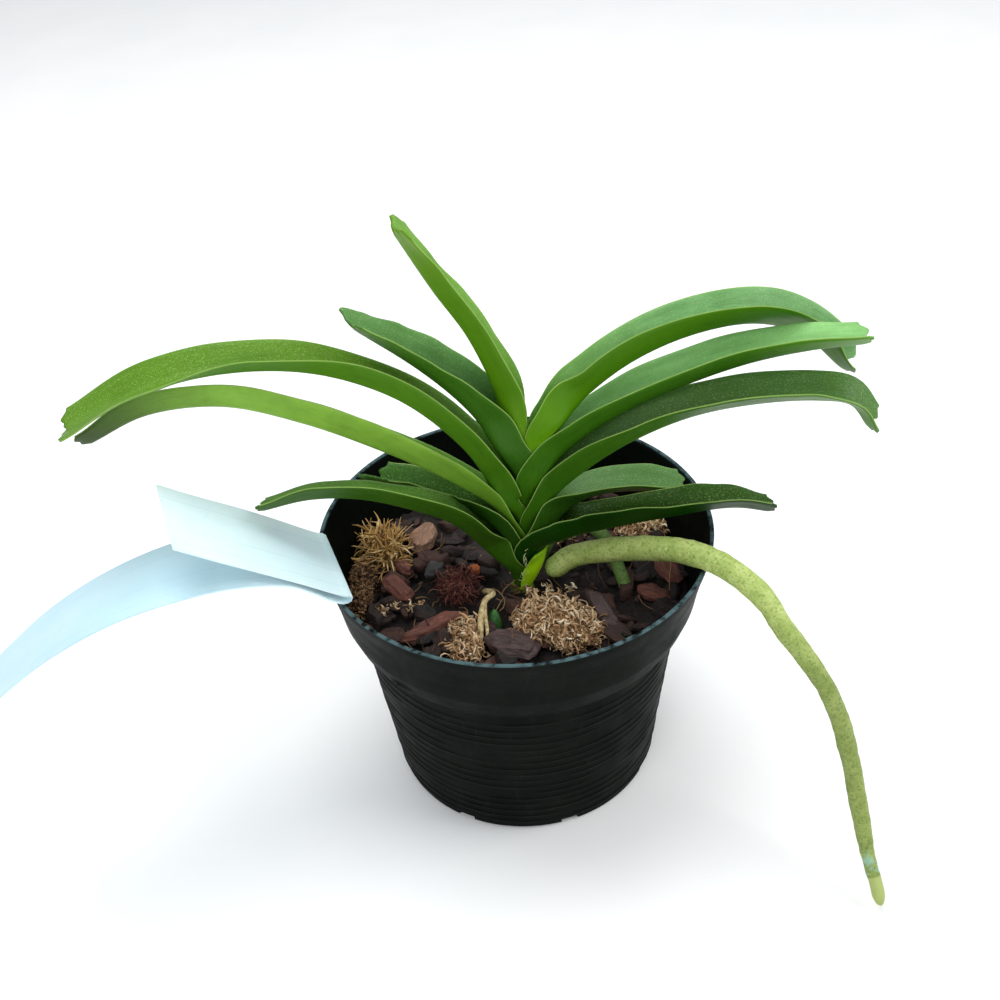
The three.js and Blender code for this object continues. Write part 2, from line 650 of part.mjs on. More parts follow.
function makeLabel() {
  const width = new THREE.Vector3(Math.cos(LABEL_HEADING), Math.sin(LABEL_HEADING), 0);
  const out = new THREE.Vector3(width.y, -width.x, 0);
  const grid = LABEL_PATH.map(([distance, height, lean]) => {
    const tilt = THREE.MathUtils.degToRad(lean);
    return [-0.5, 0, 0.5].map((share) => {
      const point = new THREE.Vector3(LABEL_FOLD[0], LABEL_FOLD[1], height);
      point.addScaledVector(out, distance);
      point.addScaledVector(width, share * LABEL_WIDTH * Math.cos(tilt));
      point.z -= share * LABEL_WIDTH * Math.sin(tilt);
      return point;
    });
  });
  return outward(sheet(grid, () => LABEL_THICKNESS));
}

// Bark chip: an irregular slab, long along its own X, then turned and tilted into place.
// A loose one of the bed has two rings of corners, one that shows by itself has three.
const FLAT_LEVELS = [[-1, 0.86], [1, 0.9]];
const FULL_LEVELS = [[-1, 0.72], [0, 1], [1, 0.84]];

function chipSolid(chip, extra) {
  const random = randomSource(chip.seed);
  const [length, width, thickness] = chip.size.map((value) => value * 0.5 + extra);
  const sides = chip.loose ? 5 : 7;
  const outline = [];
  for (let j = 0; j < sides; j += 1) {
    const angle = ((j + 0.35 * (random() - 0.5)) / sides) * Math.PI * 2;
    const reach = 0.86 + 0.28 * random();
    outline.push([length * Math.cos(angle) * reach, width * Math.sin(angle) * reach]);
  }
  const levels = chip.loose ? FLAT_LEVELS : FULL_LEVELS;
  const rings = levels.map(([level, scale]) => outline.map(([x, y]) => (
    new THREE.Vector3(x * scale, y * scale, level * thickness)
  )));
  const geometry = loft(rings);
  geometry.rotateX(THREE.MathUtils.degToRad(chip.tilt[0]));
  geometry.rotateY(THREE.MathUtils.degToRad(chip.tilt[1]));
  geometry.rotateZ(THREE.MathUtils.degToRad(chip.turn));
  geometry.translate(...chip.centre);
  return toSolid(geometry);
}

const CHIPS = [
  {
    name: 'bark_strip', finish: 'redBark', seed: 3,
    centre: [-23.5, -18.5, 61.2], size: [21, 4.4, 3.6], turn: 22, tilt: [10, -6],
  },
  {
    name: 'bark_chip_front', finish: 'purpleBark', seed: 8,
    centre: [-2.5, -28, 61.4], size: [16, 12, 4.6], turn: -10, tilt: [-12, 6],
  },
  {
    name: 'bark_chip_pink', finish: 'redBark', seed: 5,
    centre: [-33, -2.4, 61.2], size: [11, 7, 3.4], turn: -50, tilt: [-14, 8],
  },
  {
    name: 'bark_chip_red', finish: 'redBark', seed: 12,
    centre: [-31.5, 6.5, 61], size: [8, 5, 3.2], turn: -60, tilt: [-16, 0],
  },
  {
    name: 'bark_chip_grey', finish: 'greyBark', seed: 9,
    centre: [-23, 5, 61], size: [10.5, 5, 3.4], turn: 74, tilt: [10, 14],
  },
  {
    name: 'bark_chip_tan', finish: 'tanBark', seed: 15,
    centre: [-26, 18, 61.4], size: [12, 8.4, 4.4], turn: 66, tilt: [12, -10],
  },
  {
    name: 'bark_chip_right', finish: 'purpleBark', seed: 21,
    centre: [22, -18, 61.4], size: [17, 5.6, 4.6], turn: -64, tilt: [8, 12],
  },
  {
    name: 'bark_chip_right_low', finish: 'redBark', seed: 27,
    centre: [36, -10.6, 60.6], size: [10.5, 6.4, 3], turn: -18, tilt: [-10, 6],
  },
  {
    name: 'bark_chip_right_high', finish: 'redBark', seed: 31,
    centre: [41, -1.5, 61.6], size: [14, 6, 3.6], turn: -66, tilt: [6, 18],
  },
  {
    name: 'bark_chip_orange', finish: 'tanBark', seed: 33,
    centre: [-12, 2.5, 61.2], size: [4.4, 4, 3.4], turn: 10, tilt: [4, 6],
  },
];

// Moss clumps: lumps [x, y, z, half length, half width, half height] fused into one body
const MOSS = [
  {
    name: 'moss_front', finish: 'moss', seed: 41,
    lumps: [[8, -17.5, 61.2, 9, 6.5, 4.2], [13, -22.5, 61, 8.5, 7.5, 3.8], [4, -20, 61, 6, 6.5, 3.4]],
  },
  {
    name: 'moss_front_left', finish: 'moss', seed: 43,
    lumps: [[-15, -22, 61.2, 3.8, 5, 3.2], [-14.5, -28.4, 61, 4.6, 4.4, 3]],
  },
  {
    name: 'moss_left', finish: 'brownMoss', seed: 47,
    lumps: [[-43, -6, 60.8, 3.2, 7.5, 3.4], [-42.5, 3.5, 61, 3.6, 7, 3.2]],
  },
  {
    name: 'moss_left_tuft', finish: 'moss', seed: 53,
    lumps: [[-38, 15, 61.6, 5.5, 5, 4], [-36, 10.5, 61.2, 4, 4.5, 3.4]],
  },
  {
    name: 'moss_maroon', finish: 'brownMoss', seed: 59,
    lumps: [[-16.5, -3.5, 61.2, 4.4, 4.6, 3.6]],
  },
  {
    name: 'moss_back', finish: 'moss', seed: 61,
    lumps: [[36, 16, 61, 6.5, 4.5, 3.8]],
  },
  {
    name: 'moss_middle', finish: 'brownMoss', seed: 67,
    lumps: [[15, 17, 60.6, 5, 4, 3]],
  },
];
const LUMP_BANDS = 5;
const LUMP_SIDES = 10;

function lumpSolid([x, y, z, halfLength, halfWidth, halfHeight], seed, extra) {
  const random = randomSource(seed);
  const phases = [random(), random(), random()].map((value) => value * Math.PI * 2);
  const rings = [];
  for (let i = 0; i < LUMP_BANDS; i += 1) {
    const polar = Math.PI * mix(0.06, 0.94, i / (LUMP_BANDS - 1));
    const ring = [];
    for (let j = 0; j < LUMP_SIDES; j += 1) {
      const angle = (j / LUMP_SIDES) * Math.PI * 2;
      let swell = 1 + 0.12 * Math.sin(3 * angle + phases[0] + i);
      swell += 0.08 * Math.sin(5 * angle + phases[1]);
      swell += 0.07 * Math.sin(4 * polar + phases[2] + 2 * angle);
      const around = Math.sin(polar) * swell;
      ring.push(new THREE.Vector3(
        x + (halfLength + extra) * around * Math.cos(angle),
        y + (halfWidth + extra) * around * Math.sin(angle),
        z - (halfHeight + extra) * Math.cos(polar),
      ));
    }
    rings.push(ring);
  }
  return toSolid(loft(rings));
}

function fused(solids) {
  return solids.reduce((sum, solid) => sum.add(solid));
}

function mossSolid(clump, extra) {
  return fused(clump.lumps.map((lump, i) => lumpSolid(lump, clump.seed + i, extra)));
}

// Inside of the pot less the seat, up to a height above the medium
const POTTING_TOP = 72;

function potInside() {
  const bottom = FLOOR_THICKNESS + SEAT;
  const profile = [new THREE.Vector2(0, bottom)];
  for (const height of [bottom, BAND_HEIGHT, 56.3, 61.5, POTTING_TOP]) {
    profile.push(new THREE.Vector2(potOutsideRadius(height) - WALL - SEAT, height));
  }
  profile.push(new THREE.Vector2(0, POTTING_TOP));
  const geometry = new THREE.LatheGeometry(profile, POT_SIDES);
  geometry.rotateX(Math.PI / 2);
  return toSolid(geometry);
}

// Rise and fall of the medium's surface
function mediumSurface(x, y) {
  const broad = 0.7 * Math.sin(x * 0.21 + 1) * Math.cos(y * 0.17 + 2);
  return MEDIUM_HEIGHT + broad + 0.5 * Math.sin(x * 0.37 - y * 0.31);
}

const BED_SIDES = 24;
const BED_RINGS = [1, 0.8, 0.6, 0.4, 0.2];
const BED_EDGE_GAP = 0.9;
const LOOSE_CHIPS = 30;
const GOLDEN_ANGLE = 2.39996;

// One loose chip of the bed, placed by a sunflower rule with seeded size and tilt
function looseChip(index, edge, random) {
  const angle = index * GOLDEN_ANGLE;
  const radius = edge * Math.sqrt((index + 0.6) / LOOSE_CHIPS) * 0.97;
  const x = radius * Math.cos(angle);
  const y = radius * Math.sin(angle);
  return {
    centre: [x, y, mediumSurface(x, y) + 0.3 + random()],
    size: [8 + 8 * random(), 4.5 + 4 * random(), 3 + 1.6 * random()],
    turn: random() * 360,
    tilt: [(random() - 0.5) * 50, (random() - 0.5) * 40],
    seed: 100 + index,
    loose: true,
  };
}

function makeBed(inside) {
  const edge = potOutsideRadius(MEDIUM_HEIGHT) - WALL - SEAT - BED_EDGE_GAP;
  const ringAt = (radius, heightAt) => {
    const ring = [];
    for (let j = 0; j < BED_SIDES; j += 1) {
      const angle = (j / BED_SIDES) * Math.PI * 2;
      const x = radius * Math.cos(angle);
      const y = radius * Math.sin(angle);
      ring.push(new THREE.Vector3(x, y, heightAt(x, y)));
    }
    return ring;
  };
  const bottom = FLOOR_THICKNESS + SEAT;
  const rings = [
    ringAt(potOutsideRadius(bottom) - WALL - SEAT, () => bottom),
    ringAt(BAND_RADIUS - WALL - SEAT, () => BAND_HEIGHT),
    ...BED_RINGS.map((share) => ringAt(edge * share, mediumSurface)),
  ];
  const random = randomSource(7);
  const chips = [];
  for (let i = 0; i < LOOSE_CHIPS; i += 1) chips.push(chipSolid(looseChip(i, edge, random), 0));
  return carve(fused([toSolid(loft(rings)), ...chips]).intersect(inside));
}

// Assembly: what lies in the medium leaves its own seat in every later piece
addPiece('pot', makePot(), 'pot');

const youngestFirst = [...LEAVES].sort((a, b) => b.node - a.node);
const innerLeaves = [];
for (const leaf of youngestFirst) {
  let solid = leafSolid(leaf, 0);
  for (const inner of innerLeaves) solid = solid.subtract(inner);
  addPiece(leaf.name, toGeometry(biggest(solid)), leaf.finish);
  innerLeaves.push(leafSolid(leaf, LEAF_CLEARANCE));
}

addPiece('stem', outward(loft(stemRings(STEM_PROFILE, 12))), 'youngLeaf');
taken.push(toSolid(outward(loft(stemRings(STEM_HOLE, 16)))));

for (const root of ROOTS) {
  const wider = root.radii.map((radius) => radius + SEAT);
  addPiece(root.name, outward(tube(root.path, root.radii, root.steps, root.sides)), root.finish);
  taken.push(toSolid(outward(tube(root.path, wider, root.steps, root.sides))));
}

function rootletSolid(extra) {
  return fused(ROOTLETS.map(({ path, radii }) => (
    toSolid(outward(tube(path, radii.map((radius) => radius + extra), 5, 6)))
  )));
}
addPiece('back_rootlets', toGeometry(rootletSolid(0)), 'straw');
taken.push(rootletSolid(SEAT));

addPiece('plant_label', makeLabel(), 'label');

for (const chip of CHIPS) {
  addPiece(chip.name, toGeometry(carve(chipSolid(chip, 0))), chip.finish);
  taken.push(chipSolid(chip, SEAT));
}

const inside = potInside();
for (const clump of MOSS) {
  const solid = carve(mossSolid(clump, 0).intersect(inside));
  addPiece(clump.name, toGeometry(solid), clump.finish);
  taken.push(mossSolid(clump, SEAT));
}
addPiece('potting_bark', toGeometry(makeBed(inside)), 'bark');

export default object;
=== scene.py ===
# Potted Vanda tessellata: the finished look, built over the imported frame.
# Sizes are in millimetres in the frame's own axes and become metres where a mesh is made.
import math
import random

import bpy
import numpy as np
from mathutils import Matrix, Vector, noise


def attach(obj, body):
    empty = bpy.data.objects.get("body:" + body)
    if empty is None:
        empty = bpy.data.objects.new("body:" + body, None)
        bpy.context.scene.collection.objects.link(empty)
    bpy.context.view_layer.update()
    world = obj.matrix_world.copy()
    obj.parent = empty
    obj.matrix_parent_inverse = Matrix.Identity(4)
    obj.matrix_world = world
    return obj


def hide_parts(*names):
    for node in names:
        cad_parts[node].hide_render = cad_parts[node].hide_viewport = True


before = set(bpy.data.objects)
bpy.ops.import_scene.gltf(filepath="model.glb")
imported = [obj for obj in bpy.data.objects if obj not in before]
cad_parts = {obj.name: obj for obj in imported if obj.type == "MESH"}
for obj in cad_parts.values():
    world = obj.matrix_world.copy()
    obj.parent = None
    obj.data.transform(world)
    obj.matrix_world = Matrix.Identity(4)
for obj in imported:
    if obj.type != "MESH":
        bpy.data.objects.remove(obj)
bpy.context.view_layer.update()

MM = 0.001
TAU = 2 * math.pi
UP = np.array([0.0, 0.0, 1.0])

# Camera of the photograph: place, tilt below level, roll and lens
CAMERA_PLACE = (-3.41, -249.73, 278.73)
CAMERA_TILT = math.radians(37.44)
CAMERA_ROLL = math.radians(-3.87)
CAMERA_LENS = 43.2
CAMERA_SENSOR = 36

# Pot
RIM_RADIUS = 52.5
POT_HEIGHT = 78.8
BASE_RADIUS = 38.2
BAND_HEIGHT = 52.2
BAND_RADIUS = 43.8
WALL = 1.2
FLOOR_THICKNESS = 1.6
HANGING_HOLE_HEIGHT = 56.5
HANGING_HOLES = [-132, -12, 108]
FIRST_DRAIN_NOTCH = 15.5
DRAIN_NOTCHES = 8
DRAIN_HOLES = 6
DRAIN_HOLE_CIRCLE = 20
DRAIN_HOLE_RADIUS = 4
POT_OUTSIDE = [
    (BASE_RADIUS - 0.8, 0), (BASE_RADIUS, 0.9), (BAND_RADIUS, BAND_HEIGHT), (47.0, 56.3),
    (48.8, 61.5), (49.7, 67), (50.9, 72.5), (52.0, 76.4), (RIM_RADIUS, POT_HEIGHT),
]

# Medium
MEDIUM_HEIGHT = 59.3
SEAT = 0.3

# Plant
STEM_LEAN = 0.055
STEM_BASE_HEIGHT = 61
STEM_BASE_X = 1.4
FAN_Y = -2.4
SHEATH_RADIUS = 2.3
SHEATH_SPACING = 0.88
SHEATH_WIDENING = 1.02
BLADE_THICKNESS = 0.75
SHEATH_THICKNESS = 0.6
KEEL_RADIUS = 1.3
CLASP_FADE = 11
SHEATH_OVERLAP = 1.1
TIP_ZONE = 11
NODE_HEIGHTS = [60.5, 62, 65, 68, 71, 74, 77.5, 81.5, 86.5, 92, 98, 104, 109]


def mix(a, b, t):
    return a + (b - a) * t


def smooth(start, end, value):
    t = min(1.0, max(0.0, (value - start) / (end - start)))
    return t * t * (3 - 2 * t)


def keyed(keys, t):
    """Value at fraction t of a list of evenly spaced keys."""
    place = min(0.99999, max(0.0, t)) * (len(keys) - 1)
    index = int(place)
    return mix(keys[index], keys[index + 1], smooth(0, 1, place - index))


def unit(vector):
    return vector / max(1e-9, np.linalg.norm(vector))


def unit_rows(vectors):
    return vectors / np.maximum(1e-9, np.linalg.norm(vectors, axis=1))[:, None]


def wobble(x, y=0.0, z=0.0):
    return noise.noise(Vector((x, y, z)))


def seeded(seed):
    """The same small number source as the solids use, so that chips keep their outlines."""
    state = seed

    def draw():
        nonlocal state
        state = (state * 1664525 + 1013904223) & 0xFFFFFFFF
        return state / 4294967296

    return draw


def turned(points, tilt, turn):
    """Points turned about X, then Y, then Z, in degrees."""
    turning = (
        Matrix.Rotation(math.radians(turn), 3, "Z")
        @ Matrix.Rotation(math.radians(tilt[1]), 3, "Y")
        @ Matrix.Rotation(math.radians(tilt[0]), 3, "X")
    )
    return np.asarray(points) @ np.array(turning).T


class Curve:
    """Centripetal Catmull-Rom curve through points, followed by length."""

    def __init__(self, points, samples=24):
        self.points = [np.array(p, float) for p in points]
        dense = []
        for i in range(len(self.points) - 1):
            dense += [self._segment(i, k / samples) for k in range(samples)]
        dense.append(self.points[-1])
        self.dense = np.array(dense)
        steps = np.linalg.norm(np.diff(self.dense, axis=0), axis=1)
        self.reach = np.concatenate([[0], np.cumsum(steps)])
        self.length = self.reach[-1]

    def _segment(self, i, t):
        p = self.points
        p0 = p[i - 1] if i > 0 else 2 * p[0] - p[1]
        p1, p2 = p[i], p[i + 1]
        p3 = p[i + 2] if i + 2 < len(p) else 2 * p[-1] - p[-2]
        d0, d1, d2 = (max(1e-3, np.linalg.norm(b - a)) ** 0.5 for a, b in ((p0, p1), (p1, p2), (p2, p3)))
        m1 = ((p1 - p0) / d0 - (p2 - p0) / (d0 + d1) + (p2 - p1) / d1) * d1
        m2 = ((p2 - p1) / d1 - (p3 - p1) / (d1 + d2) + (p3 - p2) / d2) * d1
        c2 = -3 * p1 + 3 * p2 - 2 * m1 - m2
        c3 = 2 * p1 - 2 * p2 + m1 + m2
        return p1 + m1 * t + c2 * t * t + c3 * t ** 3

    def at(self, s):
        return np.array([np.interp(s, self.reach, self.dense[:, k]) for k in range(3)])

    def tangent(self, s):
        step = 0.4
        return unit(self.at(min(self.length, s + step)) - self.at(max(0, s - step)))


class MeshData:
    """Vertices, faces, material numbers and named vertex values gathered for one piece."""

    def __init__(self):
        self.vertices = []
        self.faces = []
        self.kinds = []
        self.values = {}

    def add(self, vertices, faces, kind=0, **values):
        start = len(self.vertices)
        count = len(vertices)
        self.vertices.extend(map(tuple, vertices))
        self.faces.extend(tuple(start + i for i in face) for face in faces)
        self.kinds.extend([kind] * len(faces))
        for name in sorted(set(values) | set(self.values)):
            column = self.values.setdefault(name, [0.0] * start)
            given = values.get(name, 0.0)
            column.extend([float(given)] * count if np.isscalar(given) else [float(v) for v in given])

    def mesh(self, name):
        mesh = bpy.data.meshes.new(name)
        mesh.from_pydata([tuple(c * MM for c in v) for v in self.vertices], [], self.faces)
        return mesh

    def build(self, name, materials, nodes, sharp=None):
        """Makes the piece, which stands for its nodes; sharp is the angle that keeps an edge."""
        mesh = self.mesh(name)
        for material in materials:
            mesh.materials.append(material)
        mesh.polygons.foreach_set("material_index", self.kinds)
        mesh.polygons.foreach_set("use_smooth", [True] * len(mesh.polygons))
        for label, column in self.values.items():
            attribute = mesh.attributes.new(label, "FLOAT", "POINT")
            attribute.data.foreach_set("value", column)
        mesh.update()
        if sharp is not None:
            mesh.set_sharp_from_angle(angle=math.radians(sharp))
        piece = linked(name, mesh)
        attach(piece, "root")
        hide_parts(*nodes)
        return piece


def linked(name, data):
    """A new object in the scene."""
    made = bpy.data.objects.new(name, data)
    bpy.context.scene.collection.objects.link(made)
    return made


def angles_round(count):
    return [k * TAU / count for k in range(count)]


def polar(radius, angle):
    return radius * math.cos(angle), radius * math.sin(angle)


def around(sides, place):
    """Ring of points about the pot's axis; place gives the radius and height at an angle."""
    ring = []
    for angle in angles_round(sides):
        radius, height = place(angle)
        ring.append((*polar(radius, angle), height))
    return ring


def grid_faces(rows, columns, flip=False, closed=False):
    """Quads of a grid; closed joins the last column to the first."""
    faces = []
    last = columns if closed else columns - 1
    for i in range(rows - 1):
        for j in range(last):
            a = i * columns + j
            b = i * columns + (j + 1) % columns
            quad = (a, a + columns, b + columns, b)
            faces.append(quad[::-1] if flip else quad)
    return faces


def loft(rings):
    """Vertices and faces of a closed body through rings that go round anticlockwise."""
    rings = [np.asarray(r, float) for r in rings]
    sides = len(rings[0])
    vertices = np.concatenate(rings + [rings[0].mean(0)[None], rings[-1].mean(0)[None]])
    faces = grid_faces(len(rings), sides, flip=True, closed=True)
    low = len(vertices) - 2
    high = len(vertices) - 1
    top = (len(rings) - 1) * sides
    for j in range(sides):
        k = (j + 1) % sides
        faces.append((low, k, j))
        faces.append((high, top + j, top + k))
    return vertices, faces


def tube(points, radii, sides):
    """Rings of a tube along points, with frames carried along without twist."""
    points = np.asarray(points, float)
    tangents = unit_rows(np.gradient(points, axis=0))
    helper = UP if abs(tangents[0][2]) < 0.9 else np.array([1.0, 0, 0])
    normal = unit(np.cross(tangents[0], helper))
    rings = []
    for point, tangent, radius in zip(points, tangents, radii):
        normal = unit(normal - tangent * normal.dot(tangent))
        other = np.cross(tangent, normal)
        angles = np.arange(sides) * TAU / sides
        ring = point + radius * (np.cos(angles)[:, None] * normal + np.sin(angles)[:, None] * other)
        rings.append(ring)
    return rings


def rounded(length, steps, cap):
    """Places along a tube with extra ones in its round ends, and the share of the radius there."""
    places = [0, 0.12 * cap, 0.35 * cap, 0.7 * cap, cap]
    shares = [0.02, 0.45, 0.72, 0.93, 1]
    middle = list(np.linspace(cap, length - cap, steps)[1:-1])
    full = places + middle + [length - p for p in reversed(places)]
    return full, shares + [1] * len(middle) + shares[::-1]


# Material helpers
def colour(code):
    """Linear colour of a six-digit hex code."""
    parts = [int(code[i:i + 2], 16) / 255 for i in (1, 3, 5)]
    return [p / 12.92 if p <= 0.04045 else ((p + 0.055) / 1.055) ** 2.4 for p in parts] + [1.0]


class Paint:
    """A procedural material: short calls that add nodes and return their output sockets."""

    def __init__(self, name, roughness=0.5, **settings):
        self.material = bpy.data.materials.new(name)
        self.material.use_nodes = True
        self.tree = self.material.node_tree
        self.shader = self.tree.nodes["Principled BSDF"]
        self.shader.inputs["Roughness"].default_value = roughness
        for key, value in settings.items():
            self.shader.inputs[key.replace("_", " ")].default_value = value
        self.place = self.add("ShaderNodeTexCoord").outputs["Object"]

    def add(self, kind, **properties):
        node = self.tree.nodes.new(kind)
        for key, value in properties.items():
            setattr(node, key, value)
        return node

    def put(self, socket, value):
        if isinstance(value, bpy.types.NodeSocket):
            self.tree.links.new(value, socket)
        elif isinstance(value, str):
            socket.default_value = colour(value)
        else:
            socket.default_value = value

    def value(self, name):
        return self.add("ShaderNodeAttribute", attribute_name=name).outputs["Fac"]

    def stretched(self, sx, sy, sz):
        node = self.add("ShaderNodeMapping")
        self.put(node.inputs["Vector"], self.place)
        node.inputs["Scale"].default_value = (sx, sy, sz)
        return node.outputs["Vector"]

    def joined(self, x, y, z=0.0):
        node = self.add("ShaderNodeCombineXYZ")
        for socket, value in zip(node.inputs, (x, y, z)):
            self.put(socket, value)
        return node.outputs["Vector"]

    def noise(self, size, detail=3, place=None, roughness=0.55):
        """Cloudy noise whose spots are about size millimetres across."""
        node = self.add("ShaderNodeTexNoise")
        self.put(node.inputs["Vector"], place or self.place)
        node.inputs["Scale"].default_value = 1 / (size * MM)
        node.inputs["Detail"].default_value = detail
        node.inputs["Roughness"].default_value = roughness
        return node.outputs["Fac"]

    def ramp(self, factor, stops):
        node = self.add("ShaderNodeValToRGB")
        self.put(node.inputs["Fac"], factor)
        ramp = node.color_ramp
        while len(ramp.elements) < len(stops):
            ramp.elements.new(0.5)
        for element, (position, tone) in zip(ramp.elements, stops):
            element.position = position
            element.color = colour(tone) if isinstance(tone, str) else (tone, tone, tone, 1)
        return node.outputs["Color"]

    def blend(self, factor, a, b, mode="MIX"):
        node = self.add("ShaderNodeMix", data_type="RGBA", blend_type=mode)
        self.put(node.inputs[0], factor)
        self.put(node.inputs[6], a)
        self.put(node.inputs[7], b)
        return node.outputs[2]

    def math(self, operation, a, b=0.0):
        node = self.add("ShaderNodeMath", operation=operation)
        self.put(node.inputs[0], a)
        self.put(node.inputs[1], b)
        return node.outputs[0]

    def times(self, a, b):
        return self.math("MULTIPLY", a, b)

    def over(self, base, tone, mask, share):
        """Tone laid over the base where the mask is, as strong as share says."""
        return self.blend(self.times(mask, share), base, tone)

    def band(self, factor, low, high):
        """0 below low, 1 above high, smooth between."""
        node = self.add("ShaderNodeMapRange", interpolation_type="SMOOTHSTEP")
        self.put(node.inputs["Value"], factor)
        node.inputs["From Min"].default_value = low
        node.inputs["From Max"].default_value = high
        return node.outputs["Result"]

    def bump(self, height, depth, normal=None):
        """Relief whose full height is depth millimetres."""
        node = self.add("ShaderNodeBump")
        node.inputs["Distance"].default_value = depth * MM
        self.put(node.inputs["Height"], height)
        if normal is not None:
            self.put(node.inputs["Normal"], normal)
        return node.outputs["Normal"]

    def finish(self, base, roughness=None, normal=None):
        self.put(self.shader.inputs["Base Color"], base)
        if roughness is not None:
            self.put(self.shader.inputs["Roughness"], roughness)
        if normal is not None:
            self.put(self.shader.inputs["Normal"], normal)
        return self.material


# Camera, lights and floor. Each light: name, place and target in metres, size, power
WORLD_STRENGTH = 0.6
WORLD_COLOUR = (0.95, 0.98, 1.0, 1)
FLOOR_SIZE = 6
LIGHTS = [
    ("key", (-0.15, 0.2, 0.95), (0, 0, 0.08), 0.7, 5.6),
    ("fill", (-0.35, -0.75, 0.6), (0, 0, 0.07), 0.7, 2.4),
    ("side", (0.75, -0.1, 0.6), (0, 0, 0.07), 0.6, 4.2),
]


def set_stage():
    data = bpy.data.cameras.new("camera")
    data.lens = CAMERA_LENS
    data.sensor_width = CAMERA_SENSOR
    data.sensor_fit = "HORIZONTAL"
    data.clip_start = 0.01
    camera = linked("camera", data)
    forward = Vector((0, math.cos(CAMERA_TILT), -math.sin(CAMERA_TILT)))
    right = Vector((1, 0, 0))
    up = right.cross(forward)
    rolled_right = right * math.cos(CAMERA_ROLL) + up * math.sin(CAMERA_ROLL)
    rolled_up = up * math.cos(CAMERA_ROLL) - right * math.sin(CAMERA_ROLL)
    turn = Matrix((rolled_right, rolled_up, -forward)).transposed().to_4x4()
    camera.matrix_world = Matrix.Translation([c * MM for c in CAMERA_PLACE]) @ turn
    bpy.context.scene.camera = camera

    world = bpy.data.worlds.new("studio")
    world.use_nodes = True
    background = world.node_tree.nodes["Background"]
    background.inputs["Color"].default_value = WORLD_COLOUR
    background.inputs["Strength"].default_value = WORLD_STRENGTH
    bpy.context.scene.world = world
    bpy.context.scene.view_settings.view_transform = "Standard"

    for name, place, target, size, power in LIGHTS:
        lamp = bpy.data.lights.new(name, "AREA")
        lamp.shape = "DISK"
        lamp.size = size
        lamp.energy = power
        light = linked(name, lamp)
        aim = Vector(target) - Vector(place)
        light.rotation_euler = aim.to_track_quat("-Z", "Y").to_euler()
        light.location = place

    bpy.ops.mesh.primitive_plane_add(size=FLOOR_SIZE, location=(0, 0, 0))
    floor = bpy.context.object
    floor.name = "floor"
    paint = Paint("floor_paper", roughness=0.9)
    tones = paint.ramp(paint.noise(60), [(0.3, "#f7f8f8"), (0.7, "#fbfbfb")])
    floor.data.materials.append(paint.finish(tones))


# Pot
def pot_radius(height):
    heights = [z for _, z in POT_OUTSIDE]
    return float(np.interp(height, heights, [r for r, _ in POT_OUTSIDE]))


# Ribs from the foot up, with how far they drift and how often they break off
RIB_FOOT = 3.5
RIB_TOP = 49.5
RIB_SPACING = 2.8
RIB_COUNT = 17
RIB_RELIEF = 0.27
RIB_HALF_WIDTH = 0.36
RIB_DRIFT = 0.25
RIB_BREAKS = (-0.5, 0.1)
LIP_RELIEF = 0.45
LIP_SIZE = (2.6, 1.9)
POT_STEPS = 240
# Slow warp of the wall, wear of the rim, the rounded foot and the faint step inside
WARP = 0.25
RIM_WARP_LEVEL = 1.6
RIM_CHIPS = 0.3
RIM_WAVE = 0.12
RIM_RINGS = [(0.25, 0.0), (0.6, -0.02), (0.95, 0.02), (1.15, 0.3)]
FOOT_ROUNDING = 0.3
FOOT_ROUNDING_HEIGHT = 1.2
INNER_STEP = 0.16
INNER_STEP_HEIGHT = 66.5
INNER_STEP_WIDTH = 0.35
# Half sizes of the openings
HANGING_HOLE_SIZE = (2, 1.3)
HANGING_HOLE_REACH = 6
DRAIN_NOTCH_SIZE = (4.5, 2.5, 2.2)


def rib_relief(height, angle):
    """Height of the broken horizontal ribs at a place on the wall."""
    relief = 0.0
    x, y = math.cos(angle), math.sin(angle)
    for k in range(RIB_COUNT):
        centre = RIB_FOOT + k * RIB_SPACING
        if abs(height - centre) > 2.5 or centre > RIB_TOP:
            continue
        drift = RIB_DRIFT * wobble(2.2 * x, 2.2 * y, k * 3.1)
        presence = smooth(*RIB_BREAKS, wobble(3 * x, 3 * y, 50 + k * 1.7))
        across = (height - centre - drift) / RIB_HALF_WIDTH
        relief += RIB_RELIEF * presence * math.exp(-across * across)
    return relief


def crescent_relief(height, angle):
    """Raised lip round each hanging hole."""
    relief = 0.0
    for hole in HANGING_HOLES:
        turn = math.radians(hole)
        away = math.atan2(math.sin(angle - turn), math.cos(angle - turn)) * pot_radius(HANGING_HOLE_HEIGHT)
        distance = math.hypot(away / LIP_SIZE[0], (height - HANGING_HOLE_HEIGHT) / LIP_SIZE[1])
        relief += LIP_RELIEF * math.exp(-((distance - 1.0) / 0.28) ** 2)
    return relief


def warp(angle, level):
    return WARP * wobble(1.2 * math.cos(angle), 1.2 * math.sin(angle), level)


def outer_radius(height, angle):
    radius = pot_radius(height) + rib_relief(height, angle) + crescent_relief(height, angle)
    radius += warp(angle, height * 0.02)
    return radius - FOOT_ROUNDING * smooth(FOOT_ROUNDING_HEIGHT, 0, height)


def rim_place(angle, depth, drop):
    """Radius and height of the worn rim at a depth into the wall."""
    chip = RIM_CHIPS * max(0, wobble(9 * math.cos(angle), 9 * math.sin(angle), 4) - 0.15)
    height = POT_HEIGHT - drop - chip + RIM_WAVE * wobble(5 * math.cos(angle), 5 * math.sin(angle), 9)
    return RIM_RADIUS + warp(angle, RIM_WARP_LEVEL) - depth, height


def inner_radius(height):
    step = math.exp(-((height - INNER_STEP_HEIGHT) / INNER_STEP_WIDTH) ** 2)
    return pot_radius(height) - WALL + INNER_STEP * step


